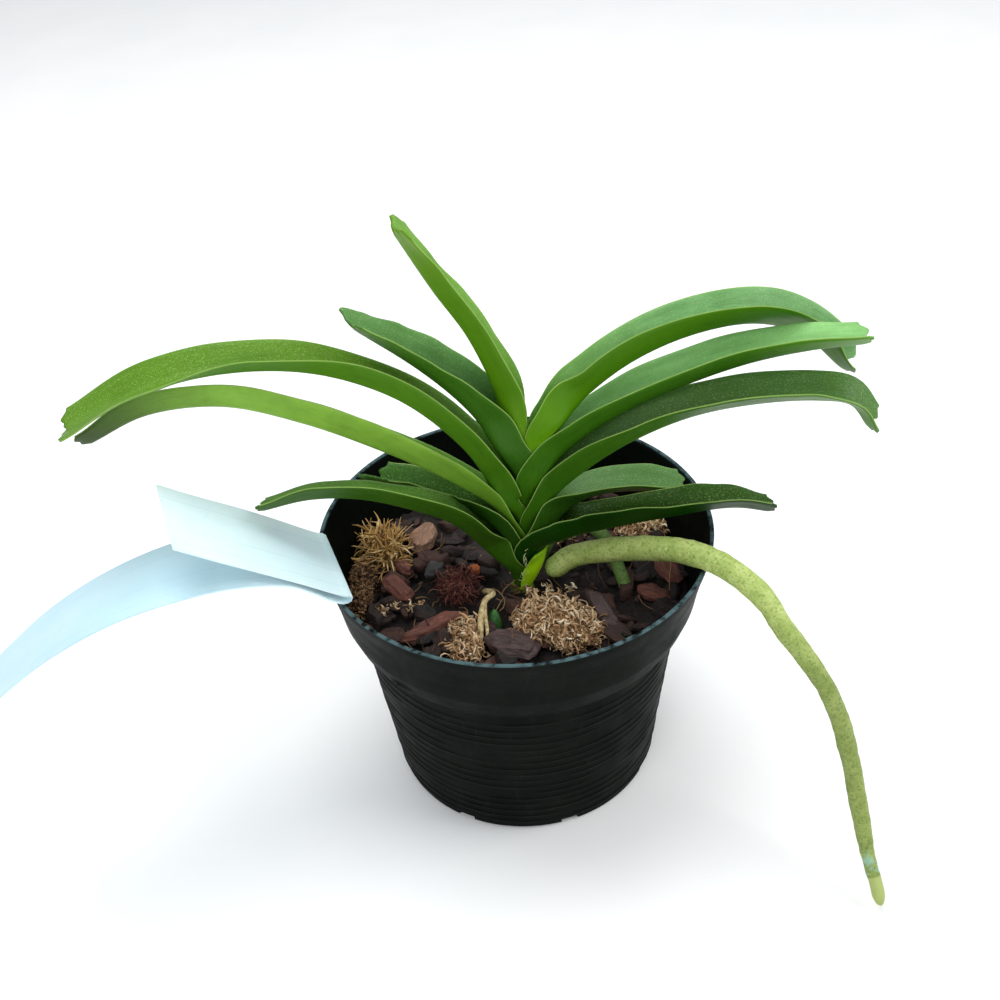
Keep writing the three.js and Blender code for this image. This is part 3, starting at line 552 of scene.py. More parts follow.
def make_pot():
    heights = [0, 0.35, 0.9, *np.arange(1.3, 50.6, 0.36), *np.arange(50.8, 60, 0.45)]
    heights += [*np.linspace(60.4, POT_HEIGHT - 0.5, 34), POT_HEIGHT - 0.2]
    inner_heights = [*np.linspace(POT_HEIGHT - 1.2, 48, 40), *np.linspace(44, FLOOR_THICKNESS, 10)]
    rings = [around(POT_STEPS, lambda a: (outer_radius(height, a), height)) for height in heights]
    rings += [around(POT_STEPS, lambda a: rim_place(a, depth, drop)) for depth, drop in RIM_RINGS]
    rings += [around(POT_STEPS, lambda a: (inner_radius(height), height)) for height in inner_heights]
    vertices, faces = loft(rings)
    vertices[-2] = (0, 0, 0)
    vertices[-1] = (0, 0, FLOOR_THICKNESS)
    data = MeshData()
    data.add(vertices, faces)
    cut_pot(data.build("pot_body", [pot_material()], ["pot"], sharp=38))


def add_cutter(data, outlines, centre, turn):
    """A closed body between two outlines, moved out from the pot's axis and turned about it."""
    data.add(*loft([turned(np.array(outline) + centre, (0, 0), turn) for outline in outlines]))


def cut_pot(pot):
    """Cuts the hanging holes, the drain notches and the drain holes in one go."""
    data = MeshData()
    half_width, half_height = HANGING_HOLE_SIZE
    hole = [
        [(x, half_width * math.cos(a), half_height * math.sin(a)) for a in angles_round(24)]
        for x in (-HANGING_HOLE_REACH, HANGING_HOLE_REACH)
    ]
    for turn in HANGING_HOLES:
        add_cutter(data, hole, (pot_radius(HANGING_HOLE_HEIGHT), 0, HANGING_HOLE_HEIGHT), turn)
    length, width, rise = DRAIN_NOTCH_SIZE
    corners = [(-length, -width), (length, -width), (length, width), (-length, width)]
    notch = [[(x, y, z) for x, y in corners] for z in (-rise, rise)]
    for i in range(DRAIN_NOTCHES):
        add_cutter(data, notch, (BASE_RADIUS, 0, 0), FIRST_DRAIN_NOTCH + i * 360 / DRAIN_NOTCHES)
    circle = [around(32, lambda a: (DRAIN_HOLE_RADIUS, z)) for z in (-3, 4)]
    for i in range(DRAIN_HOLES):
        add_cutter(data, circle, (DRAIN_HOLE_CIRCLE, 0, 0), i * 360 / DRAIN_HOLES)
    mesh = data.mesh("pot_cutter")
    mesh.update()
    cutter = linked("pot_cutter", mesh)
    modifier = pot.modifiers.new("openings", "BOOLEAN")
    modifier.operation = "DIFFERENCE"
    modifier.solver = "MANIFOLD"
    modifier.object = cutter
    apply_modifiers(pot)
    bpy.data.objects.remove(cutter)


def apply_modifiers(piece):
    """Replaces a piece's mesh by the one its modifiers make."""
    graph = bpy.context.evaluated_depsgraph_get()
    mesh = bpy.data.meshes.new_from_object(piece.evaluated_get(graph))
    old = piece.data
    piece.modifiers.clear()
    piece.data = mesh
    bpy.data.meshes.remove(old)


def pot_material():
    paint = Paint("black_nursery_plastic", roughness=0.52, Specular_IOR_Level=0.025)
    height = paint.add("ShaderNodeSeparateXYZ")
    paint.put(height.inputs[0], paint.place)
    level = height.outputs["Z"]
    cloud = paint.noise(22, 4)
    base = paint.ramp(cloud, [(0.3, "#080b09"), (0.7, "#0f130f")])
    scratches = paint.noise(1.6, 3, paint.stretched(1, 1, 0.12))
    base = paint.blend(paint.band(scratches, 0.6, 0.78), base, "#161a19")
    dust = paint.band(paint.noise(3.2, 5), 0.58, 0.8)
    base = paint.over(base, "#25241d", dust, 0.25)
    worn = paint.band(level, (POT_HEIGHT - 0.55) * MM, (POT_HEIGHT - 0.1) * MM)
    worn = paint.times(worn, paint.band(paint.noise(2.4, 4), 0.3, 0.62))
    base = paint.blend(worn, base, "#4a6064")
    roughness = paint.ramp(paint.noise(9, 4), [(0.3, 0.4), (0.7, 0.56)])
    relief = paint.bump(paint.noise(0.5, 3), 0.05)
    relief = paint.bump(paint.noise(2.2, 3, paint.stretched(1, 1, 0.2)), 0.06, relief)
    return paint.finish(base, roughness, relief)


# Leaves. Node is the place on the stem; width, folds and rolls run from clasp to tip in mm and degrees;
# flare widens the margins there by so much, from, over and on the far side; tones are the back at base,
# middle and tip, then the face near and far. The back tones are the leaf's green set darker, painted
# shade on the undersides; the face tones are the face's green with a painted bluish sheen in them
LEAF_KEYS = (
    "name", "node", "rank", "sheath", "clasp", "finish", "width", "folds", "rolls", "flare", "lobes",
    "path", "tones",
)
LEAVES = [dict(zip(LEAF_KEYS, row)) for row in (
    ("leaf_left_1", 11, -1, 3, 10, "young_leaf", [7.6, 8, 7.8, 7.7, 7.6, 7.1], [40, 46, 48, 50, 56, 66],
     [0, -3, -5, -9, -13, -12], (1.5, -4, 26, 1), [2, 3.6], [(-1.8, -2.3, 112), (-2.8, -2, 121),
     (-8.5, -1, 137), (-16, -0.3, 150), (-23, 0.9, 163.2)],
     ("#629206", "#4b7c04", "#658f1c", "#5f8f2c", "#6c9a3a")),
    ("leaf_left_2", 9, -1, 6, 13, "leaf", [8.6, 9.4, 9.5, 9, 8.5, 7.4], [32, 30, 34, 46, 56, 66],
     [0, 2, 4, 0, -8, -12], (2.5, -4, 26, 1), [1, 5.5], [(-3.6, -2.2, 106), (-10.5, -1.5, 118),
     (-20, 0.5, 127.5), (-35.2, 2.8, 139)], ("#123e00", "#346410", "#4c7a26", "#426f2c", "#5c8c4c")),
    ("leaf_left_3", 7, -1, 4, 9, "leaf", [7.6, 8.4, 8.4, 7.9, 7.7, 6.6], [40, 47, 48, 50, 60, 74],
     [0, -12, -21, -4, 8, 8], (2, 2, 16, 1), [0.8, 1.8], [(-3.9, -2.3, 89), (-7, -2.2, 97),
     (-12.5, -2, 107), (-27, -2, 122), (-47, -2, 131), (-68, -3, 133), (-89, -4, 129),
     (-106.5, -4, 120.6)], ("#2f6004", "#4a7a14", "#5e8f1c", "#43701a", "#588219")),
    # leaf_left_4: its dark tip tone is painted shadow cast by leaf_left_3 above it
    ("leaf_left_4", 5, -1, 6, 7, "young_leaf", [6, 7.6, 8.1, 8, 7.6, 6.4], [50, 46, 46, 48, 50, 58],
     [-8, -26, -31, -33, -30, -20], (0, 0, 10, 1), [1, 2], [(-4.2, -2.3, 86), (-17, -2, 97),
     (-34, -2, 108), (-51, -2, 117), (-69, -1, 122.5), (-88, 0, 121), (-104.2, 1, 113.2)],
     ("#4a7f06", "#84b23e", "#364c12", "#4f8518", "#6c9a34")),
    ("leaf_left_5", 3, -1, 7, 10, "dark_leaf", [7.2, 8.2, 8.3, 8, 7.6, 6.6], [30, 34, 35, 34, 36, 44],
     [0, 1, 2, 0, -3, -4], (1, 2, 26, 1), [6.5, 1.5], [(-6, -1.8, 82), (-14, 2.8, 83.5), (-24.6, 7, 84.9),
     (-35, 9.4, 88.1)], ("#1d4206", "#21480a", "#2f560f", "#254a10", "#35601c")),
    ("leaf_left_6", 1, -1, 4, 8.5, "leaf", [7, 7.2, 7, 7.2, 7.2, 5.2], [36, 38, 46, 56, 62, 68],
     [0, -12, -24, -28, -30, -25], (2, 6, 12, 1), [1, 1], [(-8.5, -3, 74), (-16.3, -7, 86.3),
     (-27, -10.4, 94.8), (-39, -11.4, 99.6), (-51, -10.8, 99.8), (-62.2, -11.2, 97.8)],
     ("#2c5804", "#30580a", "#44651b", "#2f5a12", "#54802c")),
    ("leaf_right_1", 10, 1, 4, 15, "young_leaf", [8, 9, 9, 9, 9, 7.6], [34, 36, 36, 40, 42, 40],
     [0, -9, -7, -5, 0, 24], (4, 4, 12, 0.3), [1.5, 2.5], [(11.6, -2.2, 110), (19, -1, 118), (31, 0, 127),
     (45.2, 3, 131.4), (60.6, 6.6, 131.5), (74.9, 12.5, 124.2), (86.2, 14.5, 113.1)],
     ("#5f9502", "#437402", "#38630a", "#6e9f43", "#6e9f64")),
    ("leaf_right_2", 8, 1, 5, 9.5, "leaf", [8, 8.9, 9, 9, 8.5, 7], [38, 45, 46, 48, 54, 60],
     [0, -14, -8, -11, -13, -12], (2.5, 2, 16, 1), [0.8, 1.8], [(10.4, -2.2, 99), (20, -2, 108),
     (32, -2, 115.5), (45, -2, 121), (59, -2.2, 125.6), (73, -3, 128.5), (86, -3, 129.3)],
     ("#2c5a02", "#33640a", "#4f861a", "#3f7030", "#82b870")),
    ("leaf_right_3", 6, 1, 5, 7.5, "leaf", [7.6, 8, 8.1, 8, 7.9, 6.2], [34, 34, 42, 52, 54, 58],
     [0, -14, -5, -7, -4, 14], (1, 8, 12, 1), [1, 1.5], [(9.3, -2.5, 88), (19, -3, 97.5), (31, -4, 106.6),
     (45, -5, 113.2), (60, -7, 117), (75, -8, 117.5), (82.5, -8.7, 116.2), (87, -9.4, 110.4)],
     ("#2c5804", "#315c08", "#477818", "#305426", "#4f753a")),
    ("leaf_right_4", 4, 1, 4, 7.5, "dark_leaf", [7.2, 7.8, 8, 8, 7.8, 6.6], [36, 50, 60, 58, 56, 58],
     [0, -12, -15, -12, -8, -8], (2.5, 6, 8, 1), [4.5, 1.5], [(11.4, -2, 81.5), (18, -0.5, 86),
     (28, 1.9, 86.3), (45, 4.6, 82.8)], ("#2c5606", "#24480a", "#3c6a1c", "#3f6c24", "#588048")),
    ("leaf_right_5", 2, 1, 8.5, 13, "dark_leaf", [8, 7.7, 7.3, 7, 7.2, 6], [28, 27, 24, 34, 54, 60],
     [0, -11, -4, 0, -16, -22], (5, 2, 8, 1), [1, 1.5], [(8.6, -2.6, 75.7), (12.6, -3, 76.7),
     (19, -4, 78), (36, -6.5, 83), (56, -9, 87), (65, -9.8, 85.6)],
     ("#0e3c00", "#0c3400", "#1a3a02", "#1c3f0a", "#2c5010")),
    ("old_leaf_base", 0, 1, 9, 30, "young_leaf", [6.4, 8.2, 8.4], [10, 10, 10], [0, 0, 0], (0, 0, 10, 1),
     [0, 0], [(8.3, -2.4, 74.2)], ("#a0d80a", "#a4d80e", "#8cc018", "#3f6410", "#4a7014")),
)]
LEAF_ROW = 1.1
HALVINGS = 24
WIDEST_MARGIN = 0.995
KEEL_SHARE = 0.62
CLASP_GROWTH = (0.3, 1.2)
LOW_SHEATH = 2.8
NODE_STEP_ABOVE = 5
LEAF_WAVE = 0.35
HALF_COLUMNS = 15
LOBE_PLACES = [0, 0.22, 0.46, 0.72, 1]
LOBE_SHAPE = [0, 0.6, 1, 0.62, -0.3]
TOOTH = 1.0
TEETH = 2.3
# Margins thin out from this share of the width on, and the midrib swells with a groove in it
MARGIN_START = 0.86
MARGIN_THINNING = 0.68
MIDRIB = (0.5, 0.13)
MIDRIB_GROOVE = (0.22, 0.035)
MARGIN_BULGE = 0.1


def axis_x(height):
    return STEM_BASE_X + STEM_LEAN * (height - STEM_BASE_HEIGHT)


def node_count(height):
    """How many leaf bases have left the stem below this height."""
    last = len(NODE_HEIGHTS) - 1
    for i in range(1, last + 1):
        if height <= NODE_HEIGHTS[i]:
            return i - 1 + (height - NODE_HEIGHTS[i - 1]) / (NODE_HEIGHTS[i] - NODE_HEIGHTS[i - 1])
    return last + (height - NODE_HEIGHTS[last]) / NODE_STEP_ABOVE


def sheath_depth(node, height):
    return SHEATH_RADIUS + SHEATH_SPACING * max(0, node_count(height) - node)


def fold_for_depth(depth, width, radius):
    """Angle of a half section whose margin stands at the wanted depth."""
    low, high = 0.0, math.pi / 2
    for _ in range(HALVINGS):
        angle = (low + high) / 2
        arc = radius * (math.pi / 2 - angle)
        reached = radius * math.cos(angle) + (width - arc) * math.sin(angle)
        if reached < depth:
            low = angle
        else:
            high = angle
    return (low + high) / 2


def section_point(distance, fold, radius):
    """Point of a half section at a distance from the keel: towards the channel, sideways."""
    arc = radius * (math.pi / 2 - fold)
    if distance < arc:
        heading = math.pi / 2 - distance / radius
        return radius * (1 - math.sin(heading)), radius * math.cos(heading)
    rest = distance - arc
    return (radius * (1 - math.sin(fold)) + rest * math.cos(fold),
            radius * math.cos(fold) + rest * math.sin(fold))


def leaf_curve(leaf):
    points = []
    shares = (0, 0.5, 1)
    if leaf["node"] < 2:
        shares = (-LOW_SHEATH / leaf["sheath"], 0, 0.5, 1)
    for share in shares:
        height = NODE_HEIGHTS[leaf["node"]] + leaf["sheath"] * share
        reach = SHEATH_WIDENING * sheath_depth(leaf["node"], height)
        points.append((axis_x(height) + leaf["rank"] * reach, FAN_Y, height))
    return Curve(points + leaf["path"])


def leaf_rows(leaf, seed):
    """Middle surface of a leaf, with how open and how far along each row is."""
    curve = leaf_curve(leaf)
    length = curve.length
    steps = max(12, round(length / LEAF_ROW))
    fractions = np.linspace(0, 1, HALF_COLUMNS)[1:] ** 0.9
    rows, along, opening = [], [], []
    for i in range(steps + 1):
        s = i / steps * length
        keel = curve.at(s)
        tangent = curve.tangent(s)
        channel = unit(np.cross([0, 1, 0], tangent) * -leaf["rank"])
        lateral = unit(np.cross(channel, tangent))
        if lateral[1] > 0:
            lateral = -lateral
        blade = max(0, (s - leaf["clasp"]) / (length - leaf["clasp"]))
        opened = smooth(leaf["clasp"], leaf["clasp"] + CLASP_FADE, s)
        roll = math.radians(keyed(leaf["rolls"], blade)) * opened
        up = channel * math.cos(roll) + lateral * math.sin(roll)
        side = lateral * math.cos(roll) - channel * math.sin(roll)
        depth = sheath_depth(leaf["node"], keel[2] + channel[2] * 6)
        hugging = math.pi * 0.5 * sheath_depth(leaf["node"], keel[2]) + SHEATH_OVERLAP
        keel = keel + channel * 0.5 * BLADE_THICKNESS * opened
        blade_width = keyed(leaf["width"], blade)
        growth = smooth(*(share * leaf["clasp"] for share in CLASP_GROWTH), s)
        width = mix(min(blade_width, hugging), blade_width, growth)
        extra, beyond, fading, far_share = leaf["flare"]
        widest = leaf["clasp"] + beyond
        flare = extra * smooth(0, widest, s) * (1 - smooth(widest, widest + fading, s))
        open_depth = width * math.sin(math.radians(keyed(leaf["folds"], blade)))
        pull = smooth(length - TIP_ZONE, length, s)
        row = []
        for half, lobe_reach in ((1, leaf["lobes"][0]), (-1, leaf["lobes"][1])):
            reach = width + flare * (1 if half > 0 else far_share)
            margin = min(mix(depth, open_depth, opened), reach * WIDEST_MARGIN)
            radius = min(mix(depth, KEEL_RADIUS, opened), reach * KEEL_SHARE)
            fold = fold_for_depth(margin, reach, radius)
            line = []
            for u in fractions:
                a, b = section_point(reach * u, fold, radius)
                wave = LEAF_WAVE * u * u * opened * wobble(s * 0.07, half * 3 + seed, 0.5)
                point = keel + up * (a + wave) + side * half * b
                lobe = np.interp(u, LOBE_PLACES, LOBE_SHAPE) * lobe_reach
                tooth = TOOTH * (abs((u * TEETH + 0.3 * half) % 1 - 0.5) * 2 - 0.5)
                line.append(point + tangent * pull * (lobe + tooth * (lobe_reach > 0)))
            row.append(line)
        rows.append(np.array(row[0][::-1] + [keel] + row[1]))
        along.append(s)
        opening.append(opened)
    across = np.concatenate([-fractions[::-1], [0], fractions])
    return np.array(rows), np.array(along), np.array(opening), across, length


def make_leaf(leaf, seed):
    grid, along, opening, across, length = leaf_rows(leaf, seed)
    rows, columns = grid.shape[:2]
    tangents = np.gradient(grid, axis=0)
    sideways = np.gradient(grid, axis=1)
    normals = np.cross(tangents, sideways)
    normals /= np.maximum(1e-9, np.linalg.norm(normals, axis=2))[..., None]
    middle = columns // 2
    channel = grid[rows // 2, 0] + grid[rows // 2, -1] - 2 * grid[rows // 2, middle]
    if normals[rows // 2, middle].dot(channel) < 0:
        normals = -normals
    distance = np.abs(across)
    base = mix(SHEATH_THICKNESS, BLADE_THICKNESS, opening)[:, None]
    taper = 1 - MARGIN_THINNING * np.clip((distance - MARGIN_START) / (1 - MARGIN_START), 0, 1) ** 2
    half = 0.5 * base * taper[None, :]
    ridge, groove = (
        height * np.exp(-(distance / width) ** 2) for height, width in (MIDRIB, MIDRIB_GROOVE)
    )
    swelling = opening[:, None] * (ridge - groove)
    inner = grid + normals * (half + swelling)[..., None]
    outer = grid - normals * half[..., None]
    inner[0] = mix(inner[0], grid[0], 0.5)
    near_edge = 0.5 * (inner[:, 0] + outer[:, 0]) + MARGIN_BULGE * unit_rows(grid[:, 0] - grid[:, 1])
    far_edge = 0.5 * (inner[:, -1] + outer[:, -1]) + MARGIN_BULGE * unit_rows(grid[:, -1] - grid[:, -2])
    loop = np.concatenate([outer, far_edge[:, None], inner[:, ::-1], near_edge[:, None]], axis=1)
    sides = loop.shape[1]
    faces = grid_faces(rows, sides, closed=True)
    last = (rows - 1) * sides
    for j in range(columns - 1):
        a, b = j, j + 1
        c, d = 2 * columns - j, 2 * columns - j - 1
        faces.append((a, b, d, c))
        faces.append((last + a, last + c, last + d, last + b))
    for start in (0, last):
        far = (start + columns - 1, start + columns, start + columns + 1)
        near = (start, start + 2 * columns, start + sides - 1)
        faces.append(far if start == 0 else far[::-1])
        faces.append(near[::-1] if start == 0 else near)
    loop_across = np.concatenate([across, [1], across[::-1], [-1]])
    loop_upper = np.concatenate([np.zeros(columns), [0.5], np.ones(columns), [0.5]])
    if leaf["rank"] > 0:
        faces = [face[::-1] for face in faces]
    data = MeshData()
    data.add(
        loop.reshape(-1, 3), faces,
        along=np.repeat(along, sides) * MM, across=np.tile(loop_across, rows),
        upper=np.tile(loop_upper, rows), blade=np.repeat(along / length, sides),
        opened=np.repeat(opening, sides),
    )
    skin = leaf_material(leaf["name"], leaf["tones"])
    data.build(leaf["name"] + "_blade", [skin], [leaf["name"]])


def leaf_material(name, tones):
    base_tone, middle_tone, tip_tone, face_tone, far_face_tone = tones
    paint = Paint(name + "_skin", roughness=0.4, Specular_IOR_Level=0.15, Subsurface_Weight=0.06,
                  Subsurface_Scale=0.002)
    paint.shader.inputs["Subsurface Radius"].default_value = (0.4, 1.0, 0.15)
    across, along = paint.value("across"), paint.value("along")
    upper, blade = paint.value("upper"), paint.value("blade")
    distance = paint.math("ABSOLUTE", across)
    flat = paint.joined(paint.times(across, 9 * MM), paint.times(along, 0.16), upper)
    streaks = paint.noise(0.55, 4, flat)
    broad = paint.noise(2.6, 3, flat)
    # Back of the leaf: its tones are set darker than the leaf's own green, painted shade on the undersides
    under = paint.ramp(blade, [(0.02, base_tone), (0.3, middle_tone), (0.7, middle_tone), (0.97, tip_tone)])
    dull = paint.blend(0.7, under, "#1d3a04", "MULTIPLY")
    under = paint.over(under, dull, paint.band(broad, 0.5, 0.78), 0.3)
    under = paint.over(under, tip_tone, paint.band(streaks, 0.5, 0.8), 0.22)
    # Upper face: the face tones carry a painted bluish sheen; the fine pale flecks laid over them are painted
    # sheen
    sheen_speckle = paint.noise(0.34, 3)
    top = paint.ramp(blade, [(0.1, face_tone), (0.5, far_face_tone)])
    pale = paint.blend(0.32, top, "#c8e89a")
    dark = paint.blend(0.4, top, "#2c5a10")
    top = paint.over(top, pale, paint.band(sheen_speckle, 0.5, 0.68), 0.75)
    top = paint.over(top, dark, paint.band(broad, 0.45, 0.72), 0.55)
    top = paint.over(top, dark, paint.band(streaks, 0.5, 0.75), 0.3)
    face = paint.blend(paint.band(upper, 0.4, 0.6), under, top)
    keel = paint.math("SUBTRACT", 1.0, paint.band(distance, 0.0, 0.05))
    face = paint.over(face, tip_tone, keel, 0.25)
    rim = paint.band(distance, 0.982, 0.999)
    face = paint.over(face, "#a4c468", rim, 0.6)
    mottle = paint.band(paint.noise(7, 4), 0.35, 0.7)
    face = paint.over(face, tip_tone, mottle, 0.2)
    roughness = paint.ramp(paint.noise(1.4, 3, flat), [(0.3, 0.36), (0.7, 0.5)])
    relief = paint.bump(streaks, 0.09)
    relief = paint.bump(paint.noise(0.28, 2), 0.025, relief)
    return paint.finish(face, roughness, relief)


def ribbon(points, widths, thickness, twist=0.0):
    """Rings of four corners along points, flat like a curled shred."""
    points = np.asarray(points, float)
    tangents = unit_rows(np.gradient(points, axis=0))
    normal = unit(np.cross(tangents[0], (0.3, 0.5, 0.8)))
    rings = []
    for i, (point, tangent, width) in enumerate(zip(points, tangents, widths)):
        normal = unit(normal - tangent * normal.dot(tangent))
        other = np.cross(tangent, normal)
        angle = twist * i / len(points)
        flat = normal * math.cos(angle) + other * math.sin(angle)
        thick = other * math.cos(angle) - normal * math.sin(angle)
        rings.append([point + flat * width, point + thick * thickness,
                      point - flat * width, point - thick * thickness])
    return rings


def wander(start, heading, length, steps, curl, chance, droop=0.0):
    """Points of a path that bends at random as it goes."""
    points = [np.array(start, float)]
    heading = unit(np.array(heading, float))
    turn = np.array([chance.gauss(0, 1) for _ in range(3)])
    for _ in range(steps):
        turn = turn * 0.7 + np.array([chance.gauss(0, 1) for _ in range(3)]) * 0.5
        heading = unit(heading + np.cross(turn, heading) * curl + (0, 0, -droop))
        points.append(points[-1] + heading * length / steps)
    return points


def direction(chance, low=-1.0):
    """Random direction whose height is not under low."""
    z = chance.uniform(low, 1)
    angle = chance.uniform(0, TAU)
    around = math.sqrt(max(0, 1 - z * z))
    return np.array([around * math.cos(angle), around * math.sin(angle), z])


# Medium: dark filling, bark chips and crumbs, coir fibres
BED_SIDES = 150
BED_RINGS = 44
CAD_CHIPS = 30
LOOSE_BITS = 330
LOOSE_BIT_EDGE = 45.2
FIBRES = 150
FIBRE_EDGE = 44.5
GOLDEN_ANGLE = 2.39996
BED_EDGE = 46.7
CAD_BED_EDGE = 46.04
# Pale moss scraps on the bark: place and reach. Then places that the loose bits leave free
SCRAP_HEIGHT = 61.2
SCRAP_SHREDS = 16
PALE_SCRAPS = [
    (-36.7, -11.2, 1.2), (-33.6, -9.1, 1.0), (-29.5, -10.7, 1.2), (-26.8, -9.8, 0.9), (3.3, -6.9, 1.5),
    (8.5, -6.6, 1.8), (13.9, -7.2, 1.5), (19.9, -22.1, 1.1),
]
SCRAP_LOOK = dict(length=(1.2, 3), width=(0.15, 0.4), thickness=0.08, curl=0.8, lift=0.4, steps=5)
KEEP_CLEAR = [(1.4, -2.4, 6.5), (9.5, -2.5, 3.5), (-7, -17.5, 3.2), (29, -8, 3.0), (6.5, 4.2, 3)]


def medium_surface(x, y):
    broad = 0.7 * math.sin(x * 0.21 + 1) * math.cos(y * 0.17 + 2)
    return MEDIUM_HEIGHT + broad + 0.5 * math.sin(x * 0.37 - y * 0.31)


def resampled(corners, count, rounding=0.18):
    """A closed outline with its corners cut and its points spread evenly."""
    corners = np.asarray(corners)
    cut = []
    for i in range(len(corners)):
        before, here, after = corners[i - 1], corners[i], corners[(i + 1) % len(corners)]
        cut += [mix(here, before, rounding), here * 0.9 + 0.05 * (before + after), mix(here, after, rounding)]
    cut.append(cut[0])
    cut = np.array(cut)
    reach = np.concatenate([[0], np.cumsum(np.linalg.norm(np.diff(cut, axis=0), axis=1))])
    places = np.linspace(0, reach[-1], count, endpoint=False)
    return np.stack([np.interp(places, reach, cut[:, k]) for k in range(2)], axis=1)


def add_chip(data, chip, points=28, layers=7, tone=0.5, kind=0, rough=1.0):
    """A bark chip on the outline that its solid has, with worn edges, layers and pits."""
    draw = seeded(chip["seed"])
    length, width, thickness = (v * 0.5 for v in chip["size"])
    sides = 5 if chip.get("loose") else 7
    corners = []
    for j in range(sides):
        angle = (j + 0.35 * (draw() - 0.5)) / sides * TAU
        reach = 0.86 + 0.28 * draw()
        corners.append((length * math.cos(angle) * reach, width * math.sin(angle) * reach))
    outline = resampled(corners, points)
    levels, scales = ([-1, 1], [0.86, 0.9]) if chip.get("loose") else ([-1, 0, 1], [0.72, 1, 0.84])
    rings = []
    places = [(-1, 0.5)]
    for k in range(layers):
        level = -1 + 2 * k / (layers - 1)
        rounding = 1 - 0.1 * (abs(level) ** 6)
        places.append((level, np.interp(level, levels, scales) * rounding))
    top = places[-1][1]
    places += [(1.06, top * share) for share in (0.78, 0.5, 0.22)]
    offset = chip["seed"] * 7.31
    size = min(length, width)
    for level, scale in places:
        ring = []
        for x, y in outline:
            px, py, pz = x * scale, y * scale, level * thickness
            step = 0.06 * math.sin(level * 7 + 3 * wobble(px * 0.2 + offset, py * 0.2))
            grain = wobble(px * 0.12 + offset, py * 0.9, pz * 0.9)
            lump = wobble(px * 0.35 + offset, py * 0.45 + 9, pz * 0.4)
            swell = 1 + rough * (0.1 * lump + step * 0.8)
            lift = rough * thickness * (0.34 * lump + 0.16 * grain) * (1 if level > 0 else 0.4)
            ring.append((px * swell, py * swell + rough * 0.07 * size * grain, pz + lift))
        rings.append(ring)
    vertices, faces = loft(rings)
    local = vertices.copy()
    vertices = turned(vertices, chip["tilt"], chip["turn"]) + chip["centre"]
    data.add(vertices, faces, kind, tone=tone, lx=local[:, 0] + offset, ly=local[:, 1], lz=local[:, 2])


def bed_chips():
    """The same thirty chips that the solid medium has."""
    draw = seeded(7)
    chips = []
    for index in range(CAD_CHIPS):
        angle = index * GOLDEN_ANGLE
        radius = CAD_BED_EDGE * math.sqrt((index + 0.6) / CAD_CHIPS) * 0.97
        x, y = polar(radius, angle)
        centre = (x, y, medium_surface(x, y) + 0.3 + draw())
        size = (8 + 8 * draw(), 4.5 + 4 * draw(), 3 + 1.6 * draw())
        turn = draw() * 360
        tilt = ((draw() - 0.5) * 50, (draw() - 0.5) * 40)
        chips.append(dict(centre=centre, size=size, turn=turn, tilt=tilt, seed=100 + index, loose=True))
    return chips


def kept_within_wall(vertices, clearance=0.25):
    """Pulls points that would stand in the pot's wall back inside it."""
    points = np.array(vertices, float)
    radius = np.hypot(points[:, 0], points[:, 1])
    heights = [z for _, z in POT_OUTSIDE]
    limit = np.interp(points[:, 2], heights, [r for r, _ in POT_OUTSIDE]) - WALL - clearance
    share = np.minimum(1, limit / np.maximum(radius, 1e-6))
    points[:, :2] *= share[:, None]
    return points


def spot(chance, edge):
    """Random place on the medium, evenly spread inside a radius."""
    radius = edge * math.sqrt(chance.random())
    return polar(radius, chance.uniform(0, TAU))


